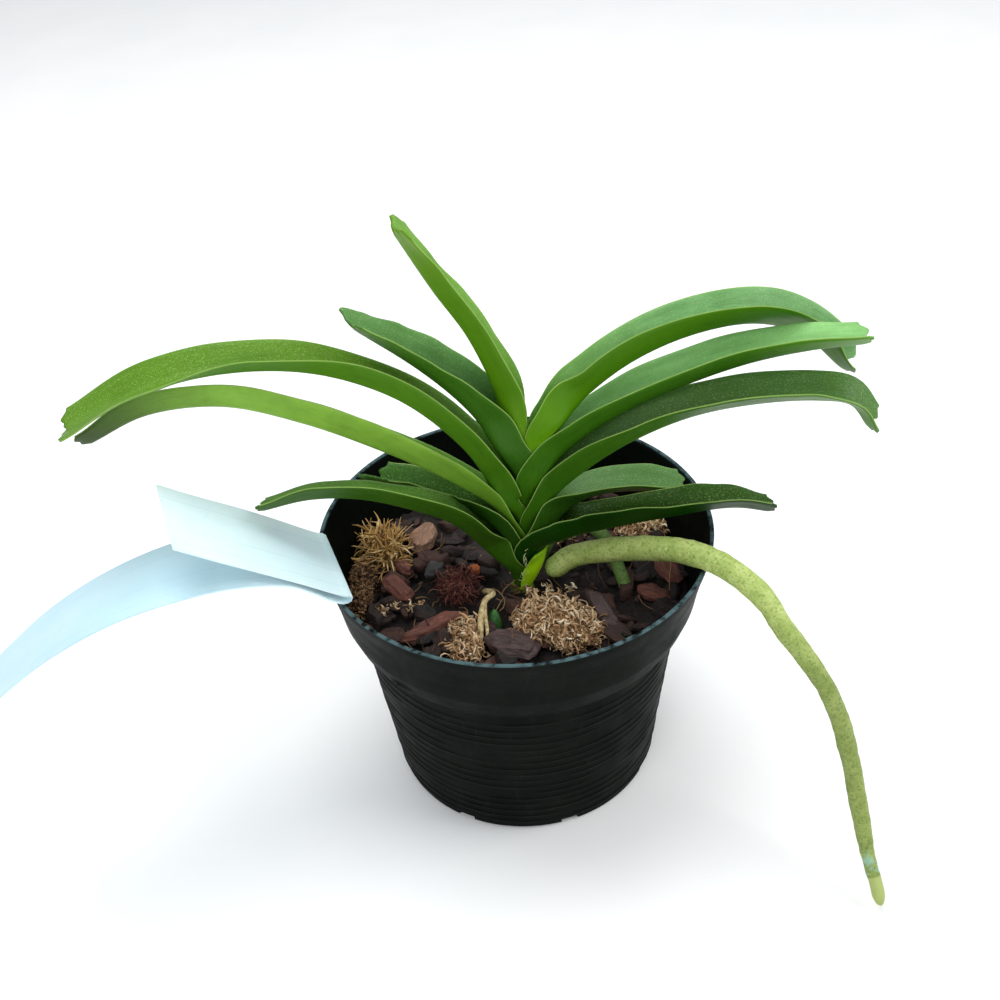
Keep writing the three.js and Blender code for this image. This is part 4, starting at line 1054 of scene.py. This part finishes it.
def make_bed():
    chance = random.Random(11)
    data = MeshData()
    low = FLOOR_THICKNESS + SEAT
    heights = [(pot_radius(low) - WALL - SEAT, low), (BAND_RADIUS - WALL - SEAT, BAND_HEIGHT)]
    heights.append((pot_radius(57) - WALL - 0.1, 57))
    rings = [around(BED_SIDES, lambda a: (radius, height)) for radius, height in heights]
    for k in range(BED_RINGS):
        radius = BED_EDGE * (1 - k / BED_RINGS)
        ring = []
        for angle in angles_round(BED_SIDES):
            x, y = polar(radius, angle)
            height = medium_surface(x, y) - 0.7
            height += 1.3 * wobble(x * 0.16, y * 0.16, 3) + 0.9 * wobble(x * 0.5, y * 0.5)
            ring.append((x, y, height + 0.35 * wobble(x * 1.3, y * 1.3, 7)))
        rings.append(ring)
    data.add(*loft(rings), 0, tone=0.2)
    for chip in bed_chips():
        add_chip(data, chip, 22, 5, tone=chance.random(), kind=1)
    for number in range(LOOSE_BITS):
        x, y = spot(chance, LOOSE_BIT_EDGE)
        grade = chance.random()
        length = mix(2.2, 12, grade ** 2.2)
        size = (length, length * chance.uniform(0.35, 0.75), max(0.8, length * chance.uniform(0.16, 0.3)))
        if any(math.hypot(x - cx, y - cy) < r + 0.4 * length for cx, cy, r in KEEP_CLEAR):
            continue
        lift = chance.uniform(0.1, 1.3)
        chip = dict(
            centre=(x, y, medium_surface(x, y) + lift), size=size, turn=chance.uniform(0, 360),
            tilt=(chance.gauss(0, 20), chance.gauss(0, 18)), seed=400 + number, loose=grade < 0.6,
        )
        add_chip(data, chip, 14 if length < 5 else 20, 4, tone=chance.random(), kind=1)
    for _ in range(FIBRES):
        x, y = spot(chance, FIBRE_EDGE)
        heading = (chance.gauss(0, 1), chance.gauss(0, 1), chance.uniform(-0.1, 0.35))
        start = (x, y, medium_surface(x, y) + chance.uniform(0.6, 1.8))
        points = wander(start, heading, chance.uniform(4, 12), 7, 0.28, chance, 0.05)
        radii = [chance.uniform(0.1, 0.2)] * 8
        data.add(*loft(tube(points, radii, 3)), 2, tone=chance.random())
    for x, y, reach in PALE_SCRAPS:
        for _ in range(SCRAP_SHREDS):
            away = direction(chance, 0.1)
            spread = away * (reach, reach, 0.8 * reach)
            start = np.array([x, y, SCRAP_HEIGHT]) + spread * chance.uniform(0.3, 1)
            heading = direction(chance) + away * 0.4
            add_shred(data, chance, start, heading, SCRAP_LOOK, chance.uniform(0.35, 1), 3)
    data.vertices = [tuple(v) for v in kept_within_wall(data.vertices)]
    paints = [soil_material(), BARKS["potting_bark"], fibre_material(), MOSS_PAINTS["moss"][1]]
    data.build("bark_bed", paints,
               ["potting_bark"], sharp=50)


# Chips that show by themselves, on the places that their solids have
CHIP_KEYS = ("name", "finish", "seed", "centre", "size", "turn", "tilt")
CHIPS = [dict(zip(CHIP_KEYS, row)) for row in (
    ("bark_strip", "red_bark", 3, (-23.5, -18.5, 61.2), (21, 4.4, 3.6), 22, (10, -6)),
    ("bark_chip_front", "purple_bark", 8, (-2.5, -28, 61.4), (16, 12, 4.6), -10, (-12, 6)),
    ("bark_chip_pink", "red_bark", 5, (-33, -2.4, 61.2), (11, 7, 3.4), -50, (-14, 8)),
    ("bark_chip_red", "red_bark", 12, (-31.5, 6.5, 61), (8, 5, 3.2), -60, (-16, 0)),
    ("bark_chip_grey", "grey_bark", 9, (-23, 5, 61), (10.5, 5, 3.4), 74, (10, 14)),
    ("bark_chip_tan", "tan_bark", 15, (-26, 18, 61.4), (12, 8.4, 4.4), 66, (12, -10)),
    ("bark_chip_right", "purple_bark", 21, (22, -18, 61.4), (17, 5.6, 4.6), -64, (8, 12)),
    ("bark_chip_right_low", "red_bark", 27, (36, -10.6, 60.6), (10.5, 6.4, 3), -18, (-10, 6)),
    ("bark_chip_right_high", "red_bark", 31, (41, -1.5, 61.6), (14, 6, 3.6), -66, (6, 18)),
    ("bark_chip_orange", "tan_bark", 33, (-12, 2.5, 61.2), (4.4, 4, 3.4), 10, (4, 6)),
)]


def make_chips():
    for chip in CHIPS:
        data = MeshData()
        add_chip(data, chip, 64, 15, rough=0.9)
        data.vertices = [tuple(v) for v in kept_within_wall(data.vertices)]
        paint = ORANGE_BARK if chip["name"] == "bark_chip_orange" else BARKS[chip["finish"]]
        data.build(chip["name"] + "_grain", [paint], [chip["name"]], sharp=60)


def bark_material(name, dark, mid, light, wear, roughness=0.78):
    """Layered bark: grain along the chip, darker pits, paler worn tops, a tone for each chip."""
    paint = Paint(name, roughness=roughness)
    grain_place = paint.joined(
        paint.times(paint.value("lx"), 0.22 * MM), paint.times(paint.value("ly"), MM),
        paint.times(paint.value("lz"), 1.4 * MM))
    grain = paint.noise(0.8, 5, grain_place, 0.65)
    patch = paint.noise(3.2, 4, grain_place)
    tone = paint.value("tone")
    base = paint.ramp(paint.math("ADD", paint.times(tone, 0.6), paint.times(patch, 0.5)),
                      [(0.25, dark), (0.62, mid), (0.98, light)])
    base = paint.over(base, light, paint.band(grain, 0.5, 0.75), 0.6)
    base = paint.over(base, wear, paint.band(patch, 0.55, 0.8), 0.5)
    base = paint.blend(paint.band(grain, 0.42, 0.2), base, dark)
    rough = paint.ramp(patch, [(0.3, roughness - 0.14), (0.7, min(0.95, roughness + 0.12))])
    relief = paint.bump(grain, 0.5)
    relief = paint.bump(paint.noise(0.35, 3), 0.12, relief)
    return paint.finish(base, rough, relief)


def soil_material():
    # The near-black filling is the medium's dark crumbs with painted shade for the gaps between the chips
    paint = Paint("dark_crumbs_and_gap_shade", roughness=0.9)
    base = paint.ramp(paint.noise(1.2, 5), [(0.35, "#0b0807"), (0.6, "#1d1310"), (0.8, "#33231a")])
    return paint.finish(base, None, paint.bump(paint.noise(0.6, 4), 0.5))


def fibre_material():
    paint = Paint("coir_fibre", roughness=0.7)
    tone = paint.value("tone")
    base = paint.ramp(tone, [(0.0, "#2a1a12"), (0.5, "#5b3c25"), (1.0, "#9b7a4e")])
    return paint.finish(base, None, paint.bump(paint.noise(0.3, 2), 0.05))


BARKS = {
    "potting_bark": bark_material("dark_bark", "#100b0a", "#2e1e1a", "#5a3a2f", "#442c26"),
    "red_bark": bark_material("red_brown_bark", "#3a211a", "#74453a", "#a87360", "#8c5340"),
    "purple_bark": bark_material("purple_brown_bark", "#251a1b", "#4c3a39", "#75605a", "#7d5046", 0.55),
    "grey_bark": bark_material("grey_bark_skin", "#1f1e20", "#3f3d3e", "#6a6664", "#55504c"),
    "tan_bark": bark_material("tan_bark_skin", "#4a3222", "#94705a", "#caa88e", "#a57c62"),
}
ORANGE_BARK = bark_material("orange_bark", "#5a2a12", "#a3521f", "#cf7a3a", "#b8642c")


# Moss: a lumpy core with hundreds of curled shreds on it
MOSS_KEYS = ("name", "finish", "seed", "shreds", "look", "lumps")
MOSS = [dict(zip(MOSS_KEYS, row)) for row in (
    ("moss_front", "moss", 41, 900, "curls", [(8, -17.5, 61.2, 9, 6.5, 4.2),
     (13, -22.5, 61, 8.5, 7.5, 3.8), (4, -20, 61, 6, 6.5, 3.4)]),
    ("moss_front_left", "moss", 43, 330, "curls", [(-15, -22, 61.2, 3.8, 5, 3.2),
     (-14.5, -28.4, 61, 4.6, 4.4, 3)]),
    ("moss_left", "brown_moss", 47, 650, "grains", [(-43, -6, 60.8, 3.2, 7.5, 3.4),
     (-42.5, 3.5, 61, 3.6, 7, 3.2)]),
    ("moss_left_tuft", "moss", 53, 260, "spikes", [(-38, 15, 61.6, 5.5, 5, 4),
     (-36, 10.5, 61.2, 4, 4.5, 3.4)]),
    ("moss_maroon", "brown_moss", 59, 420, "threads", [(-16.5, -3.5, 61.2, 4.4, 4.6, 3.6)]),
    ("moss_back", "moss", 61, 420, "curls", [(36, 16, 61, 6.5, 4.5, 3.8)]),
    ("moss_middle", "brown_moss", 67, 260, "curls", [(15, 17, 60.6, 5, 4, 3)]),
)]
LOOKS = {
    "curls": dict(length=(1.8, 5), width=(0.18, 0.5), thickness=0.09, curl=0.75, lift=0.5, steps=6),
    "grains": dict(length=(0.7, 1.8), width=(0.22, 0.45), thickness=0.22, curl=0.6, lift=0.7, steps=2),
    "spikes": dict(length=(3, 8), width=(0.2, 0.5), thickness=0.09, curl=0.3, lift=1.1, steps=5),
    "threads": dict(length=(2.5, 6), width=(0.09, 0.16), thickness=0.09, curl=0.5, lift=0.45, steps=5),
}


LUMP_RINGS = 18
LUMP_SIDES = 34
LUMP_SHRINK = 0.86
LUMP_BUMPS = 0.16


def add_lump(data, lump, seed):
    x, y, z, half_length, half_width, half_height = lump
    draw = seeded(seed)
    phases = [draw() * TAU for _ in range(3)]
    rings = []
    for i in range(LUMP_RINGS):
        t = i / (LUMP_RINGS - 1)
        polar = math.pi * mix(0.06, 0.94, t)
        ring = []
        for angle in angles_round(LUMP_SIDES):
            swell = 1 + 0.12 * math.sin(3 * angle + phases[0] + 4 * t)
            swell += 0.08 * math.sin(5 * angle + phases[1])
            swell += 0.07 * math.sin(4 * polar + phases[2] + 2 * angle)
            around_axis = math.sin(polar)
            point = np.array([around_axis * math.cos(angle), around_axis * math.sin(angle), -math.cos(polar)])
            swell *= LUMP_SHRINK + LUMP_BUMPS * wobble(*(point * 3.1 + seed))
            ring.append((x + half_length * swell * point[0], y + half_width * swell * point[1],
                         z + half_height * swell * point[2]))
        rings.append(ring)
    data.add(*loft(rings), 0, tone=0.15)


def add_shred(data, chance, start, heading, look, tone, kind=1):
    length = chance.uniform(*look["length"])
    points = wander(start, heading, length, look["steps"], look["curl"], chance, 0.04)
    width = chance.uniform(*look["width"])
    count = len(points)
    widths = [width * math.sin(math.pi * (0.22 + 0.72 * i / (count - 1))) + 0.02 for i in range(count)]
    data.add(*loft(ribbon(points, widths, look["thickness"], chance.uniform(-3, 3))), kind, tone=tone)


def make_moss():
    for clump in MOSS:
        chance = random.Random(clump["seed"])
        data = MeshData()
        look = LOOKS[clump["look"]]
        for i, lump in enumerate(clump["lumps"]):
            add_lump(data, lump, clump["seed"] + i)
        areas = [lump[3] * lump[4] for lump in clump["lumps"]]
        for _ in range(clump["shreds"]):
            lump = chance.choices(clump["lumps"], areas)[0]
            away = direction(chance, -0.15)
            start = np.array(lump[:3]) + away * lump[3:] * chance.uniform(0.8, 0.98)
            heading = direction(chance) + away * look["lift"]
            # Shreds on the upper side of a lump get a paler tone: painted light on the top of the clump
            tone = min(1, max(0, chance.gauss(0.5, 0.24) + 0.12 * away[2]))
            add_shred(data, chance, start, heading, look, tone)
        data.vertices = [tuple(v) for v in kept_within_wall(data.vertices, 0.1)]
        paints = MOSS_PAINTS[clump["look"] if clump["look"] != "curls" else clump["finish"]]
        data.build(clump["name"] + "_shreds", paints, [clump["name"]])


def moss_material(name, dark, mid, light, pale):
    core = Paint(name + "_core", roughness=0.95)
    spots = core.noise(0.9, 5)
    core_base = core.ramp(spots, [(0.3, "#23160c"), (0.5, dark), (0.7, mid)])
    core_skin = core.finish(core_base, None, core.bump(spots, 0.9))
    shred = Paint(name + "_shred", roughness=0.8)
    tone = shred.value("tone")
    base = shred.ramp(tone, [(0.05, dark), (0.38, mid), (0.7, light), (0.97, pale)])
    cloud = shred.noise(0.5, 3)
    base = shred.over(base, dark, shred.band(cloud, 0.45, 0.75), 0.5)
    skin = shred.finish(base, None, shred.bump(cloud, 0.1))
    return [core_skin, skin]


MOSS_PAINTS = {
    "moss": moss_material("golden_moss", "#785a38", "#b88f64", "#dfbe94", "#f6e8cc"),
    "brown_moss": moss_material("brown_moss", "#4a3420", "#7c5d3e", "#a58560", "#c4a983"),
    "grains": moss_material("coir_grains", "#3a2414", "#6b4a2c", "#94704a", "#ac8a60"),
    "spikes": moss_material("straw_moss", "#6f5026", "#ac8344", "#d0aa68", "#ecd6a2"),
    "threads": moss_material("maroon_fibre", "#2a100e", "#522420", "#7b3f35", "#a5705c"),
}


# Roots, shoot, straw and rootlets: the same middle lines and radii as the solids
ROOTS = [
    dict(name="aerial_root", finish="root", steps=230, sides=30, knots=0.16,
         path=[(8.5, -2.6, 63.1), (10.7, -2.4, 65.4), (13.4, -2.1, 67.3), (17.3, -2.6, 69.2),
               (23.5, -5, 72), (30, -8.6, 75.2), (37, -13.9, 79), (42.2, -18.4, 81.4), (47.2, -23, 82.4),
               (52, -27.2, 81.9), (57, -32, 79.7), (60.3, -35.6, 76.9), (63, -39.2, 73), (67, -41.6, 68),
               (71, -43.6, 62), (75.1, -45.4, 55), (78.1, -47, 47), (80.4, -49.3, 39), (82.2, -52, 31),
               (84.3, -58, 18.4), (85.6, -62.3, 11.4), (86.8, -66.6, 6.6), (87.6, -71.6, 2.6)],
         radii=[2.8, 3.15, 3.2, 3.25, 3.2, 3.1, 2.9, 2.75, 2.6, 2.4, 2.35, 2.3, 2.3, 2.2, 1.8, 1.6]),
    dict(name="second_root", finish="green_root", steps=80, sides=24, knots=0.1,
         path=[(6.4, 4.2, 62), (10, 6.6, 68), (16, 7.6, 71.4), (21.5, 6.4, 71), (25, 1.6, 69.6),
               (27, -3.6, 66), (28.8, -7.4, 61.4), (29.6, -9, 55)],
         radii=[1.7, 1.8, 1.8, 1.8, 1.8, 1.7]),
    dict(name="side_shoot", finish="shoot", steps=30, sides=20, knots=0.06,
         path=[(-7.4, -18.2, 55), (-7.2, -17.8, 60), (-6.8, -17, 64.6)], radii=[2, 2.1, 1]),
    dict(name="dry_straw", finish="straw", steps=46, sides=12, knots=0.05,
         path=[(-9.6, -4.6, 60), (-8.6, -7.8, 63), (-7, -11.6, 65.2), (-9, -14.3, 65.6),
               (-10.4, -19.4, 64.6), (-10.8, -24.4, 62.2), (-11, -26.6, 59.6)],
         radii=[0.6, 0.8, 0.8, 0.8, 0.7]),
]
ROOTLETS = [
    dict(path=[(30.6, 16.4, 62.6), (33.4, 17, 64.6), (36.8, 17.4, 65.2)], radii=[0.7, 0.9]),
    dict(path=[(36, 17.2, 65.2), (39.6, 16.4, 64.6), (42.4, 17, 62.6)], radii=[0.7, 0.5]),
    dict(path=[(36, 17.2, 65.2), (39, 14.6, 64.4), (40.4, 12, 62.4)], radii=[0.7, 0.5]),
]
STRAW_FORK = dict(path=[(-9.2, -14.2, 65.4), (-9.3, -18.6, 64.4), (-9.0, -23, 62.6), (-9.2, -25, 61)],
                  radii=[0.5, 0.55, 0.5, 0.4])


def add_root(data, root, steps, sides, knots, kind=0):
    curve = Curve(root["path"])
    cap = keyed(root["radii"], 0) * 0.9
    places, shares = rounded(curve.length, steps, cap)
    points = [curve.at(s) for s in places]
    radii = [keyed(root["radii"], s / curve.length) * share for s, share in zip(places, shares)]
    rings = tube(points, radii, sides)
    moved = []
    for s, centre, ring in zip(places, points, rings):
        spread = []
        for point in ring:
            out = unit(point - centre)
            bumps = knots * 2.2 * wobble(s * 0.11, 3 + out[0] * 0.7, out[2] * 0.7)
            bumps += knots * wobble(*(point * 0.45)) + 0.35 * knots * wobble(*(point * 1.5))
            spread.append(point + out * bumps * min(1, np.linalg.norm(point - centre)))
        moved.append(spread)
    vertices, faces = loft(moved)
    along = np.repeat(np.array(places) / curve.length, sides)
    data.add(vertices, faces, kind, along=np.concatenate([along, [0, 1]]))


def make_roots():
    for root in ROOTS:
        data = MeshData()
        add_root(data, root, root["steps"], root["sides"], root["knots"])
        if root["name"] == "dry_straw":
            add_root(data, STRAW_FORK, 24, 10, 0.05)
        data.build(root["name"] + "_skin", [ROOT_PAINTS[root["finish"]]], [root["name"]])
    data = MeshData()
    for rootlet in ROOTLETS:
        add_root(data, rootlet, 16, 12, 0.06)
    data.build("back_rootlets_skin", [ROOT_PAINTS["straw"]], ["back_rootlets"])


def root_material(name, dark, mid, light, tip, patch):
    """Velamen: pale green with fine dark specks, a bare tip and one bluish worn patch."""
    paint = Paint(name, roughness=0.62, Subsurface_Weight=0.05, Subsurface_Scale=0.002)
    along = paint.value("along")
    cloud = paint.noise(4.5, 4)
    specks = paint.noise(0.75, 4, None, 0.7)
    base = paint.ramp(cloud, [(0.3, mid), (0.7, light)])
    base = paint.over(base, dark, paint.band(specks, 0.48, 0.66), 0.75)
    base = paint.over(base, "#dfe6b0", paint.band(paint.noise(0.5, 2), 0.6, 0.75), 0.6)
    shade = paint.blend(1.0, base, "#c9cdb4", "MULTIPLY")
    base = paint.blend(paint.band(along, 0.4, 0.62), base, shade)
    base = paint.over(base, tip, paint.band(along, 0.95, 0.956), 0.9)
    worn = paint.times(paint.band(along, 0.9, 0.93), paint.band(along, 0.95, 0.944))
    worn = paint.times(worn, paint.band(paint.noise(2.6, 3), 0.44, 0.6))
    base = paint.over(base, patch, worn, 0.6)
    crack = paint.times(paint.band(along, 0.948, 0.951), paint.band(along, 0.955, 0.952))
    base = paint.over(base, dark, crack, 0.5)
    relief = paint.bump(specks, 0.14)
    relief = paint.bump(cloud, 0.3, relief)
    return paint.finish(base, None, relief)


def plain_stalk(name, dark, mid, light):
    paint = Paint(name, roughness=0.55)
    cloud = paint.noise(1.1, 4)
    base = paint.ramp(cloud, [(0.3, dark), (0.5, mid), (0.72, light)])
    return paint.finish(base, None, paint.bump(paint.noise(0.4, 3), 0.1))


ROOT_PAINTS = {
    "root": root_material("root_velamen", "#66802f", "#93a94f", "#b9c877", "#a2b066", "#8fc4b8"),
    "green_root": root_material("green_root_velamen", "#35611c", "#5f8a34", "#80a653", "#6f9a45", "#6f9a45"),
    "shoot": plain_stalk("shoot_skin", "#163d12", "#24571a", "#3b7426"),
    "straw": plain_stalk("straw_skin", "#8c7444", "#bda877", "#e3d7ae"),
}


# Stem: green foot inside the leaf bases, torn fibres and withered scraps in front
STEM_SPAN = (50, 107)
STEM_RADII = [(50, 2.5), (57, 3.3), (59.9, 3.2), (62, 1.9), (107, 1.6)]
STEM_TWIST = 0.08
TORN_FIBRES = 30
TORN_SPAN = (61.2, 78)
FIBRE_WIDTHS = [0.13, 0.12, 0.1, 0.09, 0.06, 0.03]
WITHERED_SCRAPS = 9
SCRAP_RADIUS = 3.4
SCRAP_WIDTHS = [0.7, 0.8, 0.75, 0.6, 0.4, 0.25, 0.1]


def make_stem():
    data = MeshData()
    rings = []
    for height in np.linspace(*STEM_SPAN, 60):
        centre = np.array([axis_x(height), FAN_Y, height])
        radius = float(np.interp(height, *zip(*STEM_RADII)))
        ring = []
        for angle in angles_round(26):
            swell = 1 + STEM_TWIST * wobble(3 * math.cos(angle), 3 * math.sin(angle), height * 0.5)
            ring.append(centre + np.array([math.cos(angle), math.sin(angle), 0]) * radius * swell)
        rings.append(ring)
    data.add(*loft(rings), 0)
    chance = random.Random(5)
    for number in range(TORN_FIBRES):
        height = mix(*TORN_SPAN, (number / (TORN_FIBRES - 1)) ** 1.2)
        out = sheath_depth(0, height) + 0.15
        x = axis_x(height) + chance.gauss(0, 0.3)
        start = (x, FAN_Y - out, height)
        heading = (chance.gauss(0, 0.35), -0.2, chance.gauss(0.2, 1))
        points = wander(start, heading, chance.uniform(0.8, 2.2), 5, 0.45, chance)
        data.add(*loft(ribbon(points, FIBRE_WIDTHS, 0.05, chance.uniform(-2, 2))), 1)
    for _ in range(WITHERED_SCRAPS):
        angle = math.radians(chance.uniform(200, 340))
        x, y = polar(SCRAP_RADIUS, angle)
        start = (STEM_BASE_X + x, FAN_Y + y, chance.uniform(60.2, 61.5))
        heading = (math.cos(angle), math.sin(angle), 0.6)
        points = wander(start, heading, chance.uniform(2, 4), 6, 0.4, chance, 0.1)
        data.add(*loft(ribbon(points, SCRAP_WIDTHS, 0.09, chance.uniform(-1, 1))), 2)
    fibre = plain_stalk("torn_fibre", "#8c9a52", "#b4bb80", "#dfe0bb")
    scrap = plain_stalk("withered_scrap", "#3a2413", "#6a4526", "#94703f")
    foot = plain_stalk("stem_skin", "#3a4a12", "#5f7a1e", "#86a53a")
    data.build("stem_skin", [foot, fibre, scrap], ["stem"])


# Label
LABEL_WIDTH = 27
LABEL_THICKNESS = 0.42
LABEL_ROWS = 150
LABEL_COLUMNS = 15
LABEL_WAVE = 0.25
LABEL_CREASES = (-0.31, 0.12, 0.36)
CREASE_SHADOW_WIDTH = 0.012
LABEL_HEADING = math.radians(-71.3)
LABEL_FOLD = (-47.3, -14.5)
LABEL_PATH = [
    (36.5, 109.5, 0), (28, 103, 0), (19, 96.4, 0), (10, 89.6, 0), (3, 84, 0), (0.2, 81.9, 0),
    (-1.1, 81.3, 0), (-1.5, 80.5, 0), (-1, 79.8, 0), (0.6, 79.6, 0), (4, 81.6, -1), (8, 85.2, -2),
    (13, 88.9, -3), (25, 92.3, -5), (40, 92.7, -8), (55, 90.3, -12), (70, 84.5, -15),
    (85, 75.3, -18), (97, 67.2, -20),
]


def make_label():
    across = np.array([math.cos(LABEL_HEADING), math.sin(LABEL_HEADING), 0])
    out = np.array([across[1], -across[0], 0])
    curve = Curve(LABEL_PATH)
    rows, along = [], []
    shares = np.linspace(-0.5, 0.5, LABEL_COLUMNS)
    for i in range(LABEL_ROWS + 1):
        distance, height, lean = curve.at(i / LABEL_ROWS * curve.length)
        tilt = math.radians(lean)
        row = []
        for share in shares:
            point = np.array([*LABEL_FOLD, height]) + out * distance
            point += across * share * LABEL_WIDTH * math.cos(tilt)
            point[2] -= share * LABEL_WIDTH * math.sin(tilt)
            point[2] += LABEL_WAVE * wobble(i * 0.05, share * 3)
            row.append(point)
        rows.append(row)
        along.append(i / LABEL_ROWS)
    grid = np.array(rows)
    normals = np.cross(np.gradient(grid, axis=0), np.gradient(grid, axis=1))
    normals /= np.linalg.norm(normals, axis=2)[..., None]
    half = 0.5 * LABEL_THICKNESS
    loop = np.concatenate([grid + normals * half, (grid - normals * half)[:, ::-1]], axis=1)
    sides = loop.shape[1]
    vertices = loop.reshape(-1, 3)
    faces = grid_faces(len(rows), sides, closed=True, flip=True)
    faces.append(tuple(range(sides)))
    faces.append(tuple(range(len(vertices) - 1, len(vertices) - sides - 1, -1)))
    data = MeshData()
    data.add(vertices, faces, along=np.repeat(along, sides),
             width=np.tile(np.concatenate([shares, shares[::-1]]), len(rows)))
    data.build("label_strip", [label_material()], ["plant_label"], sharp=40)


def label_material():
    paint = Paint("pale_label_plastic", roughness=0.42, Subsurface_Weight=0.1, Subsurface_Scale=0.003)
    cloud = paint.noise(16, 3)
    base = paint.ramp(cloud, [(0.3, "#d3edf4"), (0.7, "#def4f9")])
    lines = paint.noise(1.4, 2, paint.stretched(1, 0.1, 0.1))
    base = paint.over(base, "#bfdfe9", paint.band(lines, 0.6, 0.8), 0.18)
    tail = paint.blend(1.0, base, "#dceaf0", "MULTIPLY")
    base = paint.blend(paint.band(paint.value("along"), 0.42, 0.6), base, tail)
    side = paint.value("width")
    # Thin darker lines along the creases: painted shadow in each crease
    for place in LABEL_CREASES:
        near, far = (paint.band(side, place + away, place) for away in (-CREASE_SHADOW_WIDTH, CREASE_SHADOW_WIDTH))
        crease_shadow = paint.times(near, far)
        base = paint.over(base, "#9cc3cf", crease_shadow, 0.22)
    return paint.finish(base, None, paint.bump(paint.noise(3, 3), 0.06))


set_stage()
make_pot()
for number, leaf in enumerate(LEAVES):
    make_leaf(leaf, number * 7.3)
make_stem()
make_roots()
make_label()
make_chips()
make_moss()
make_bed()
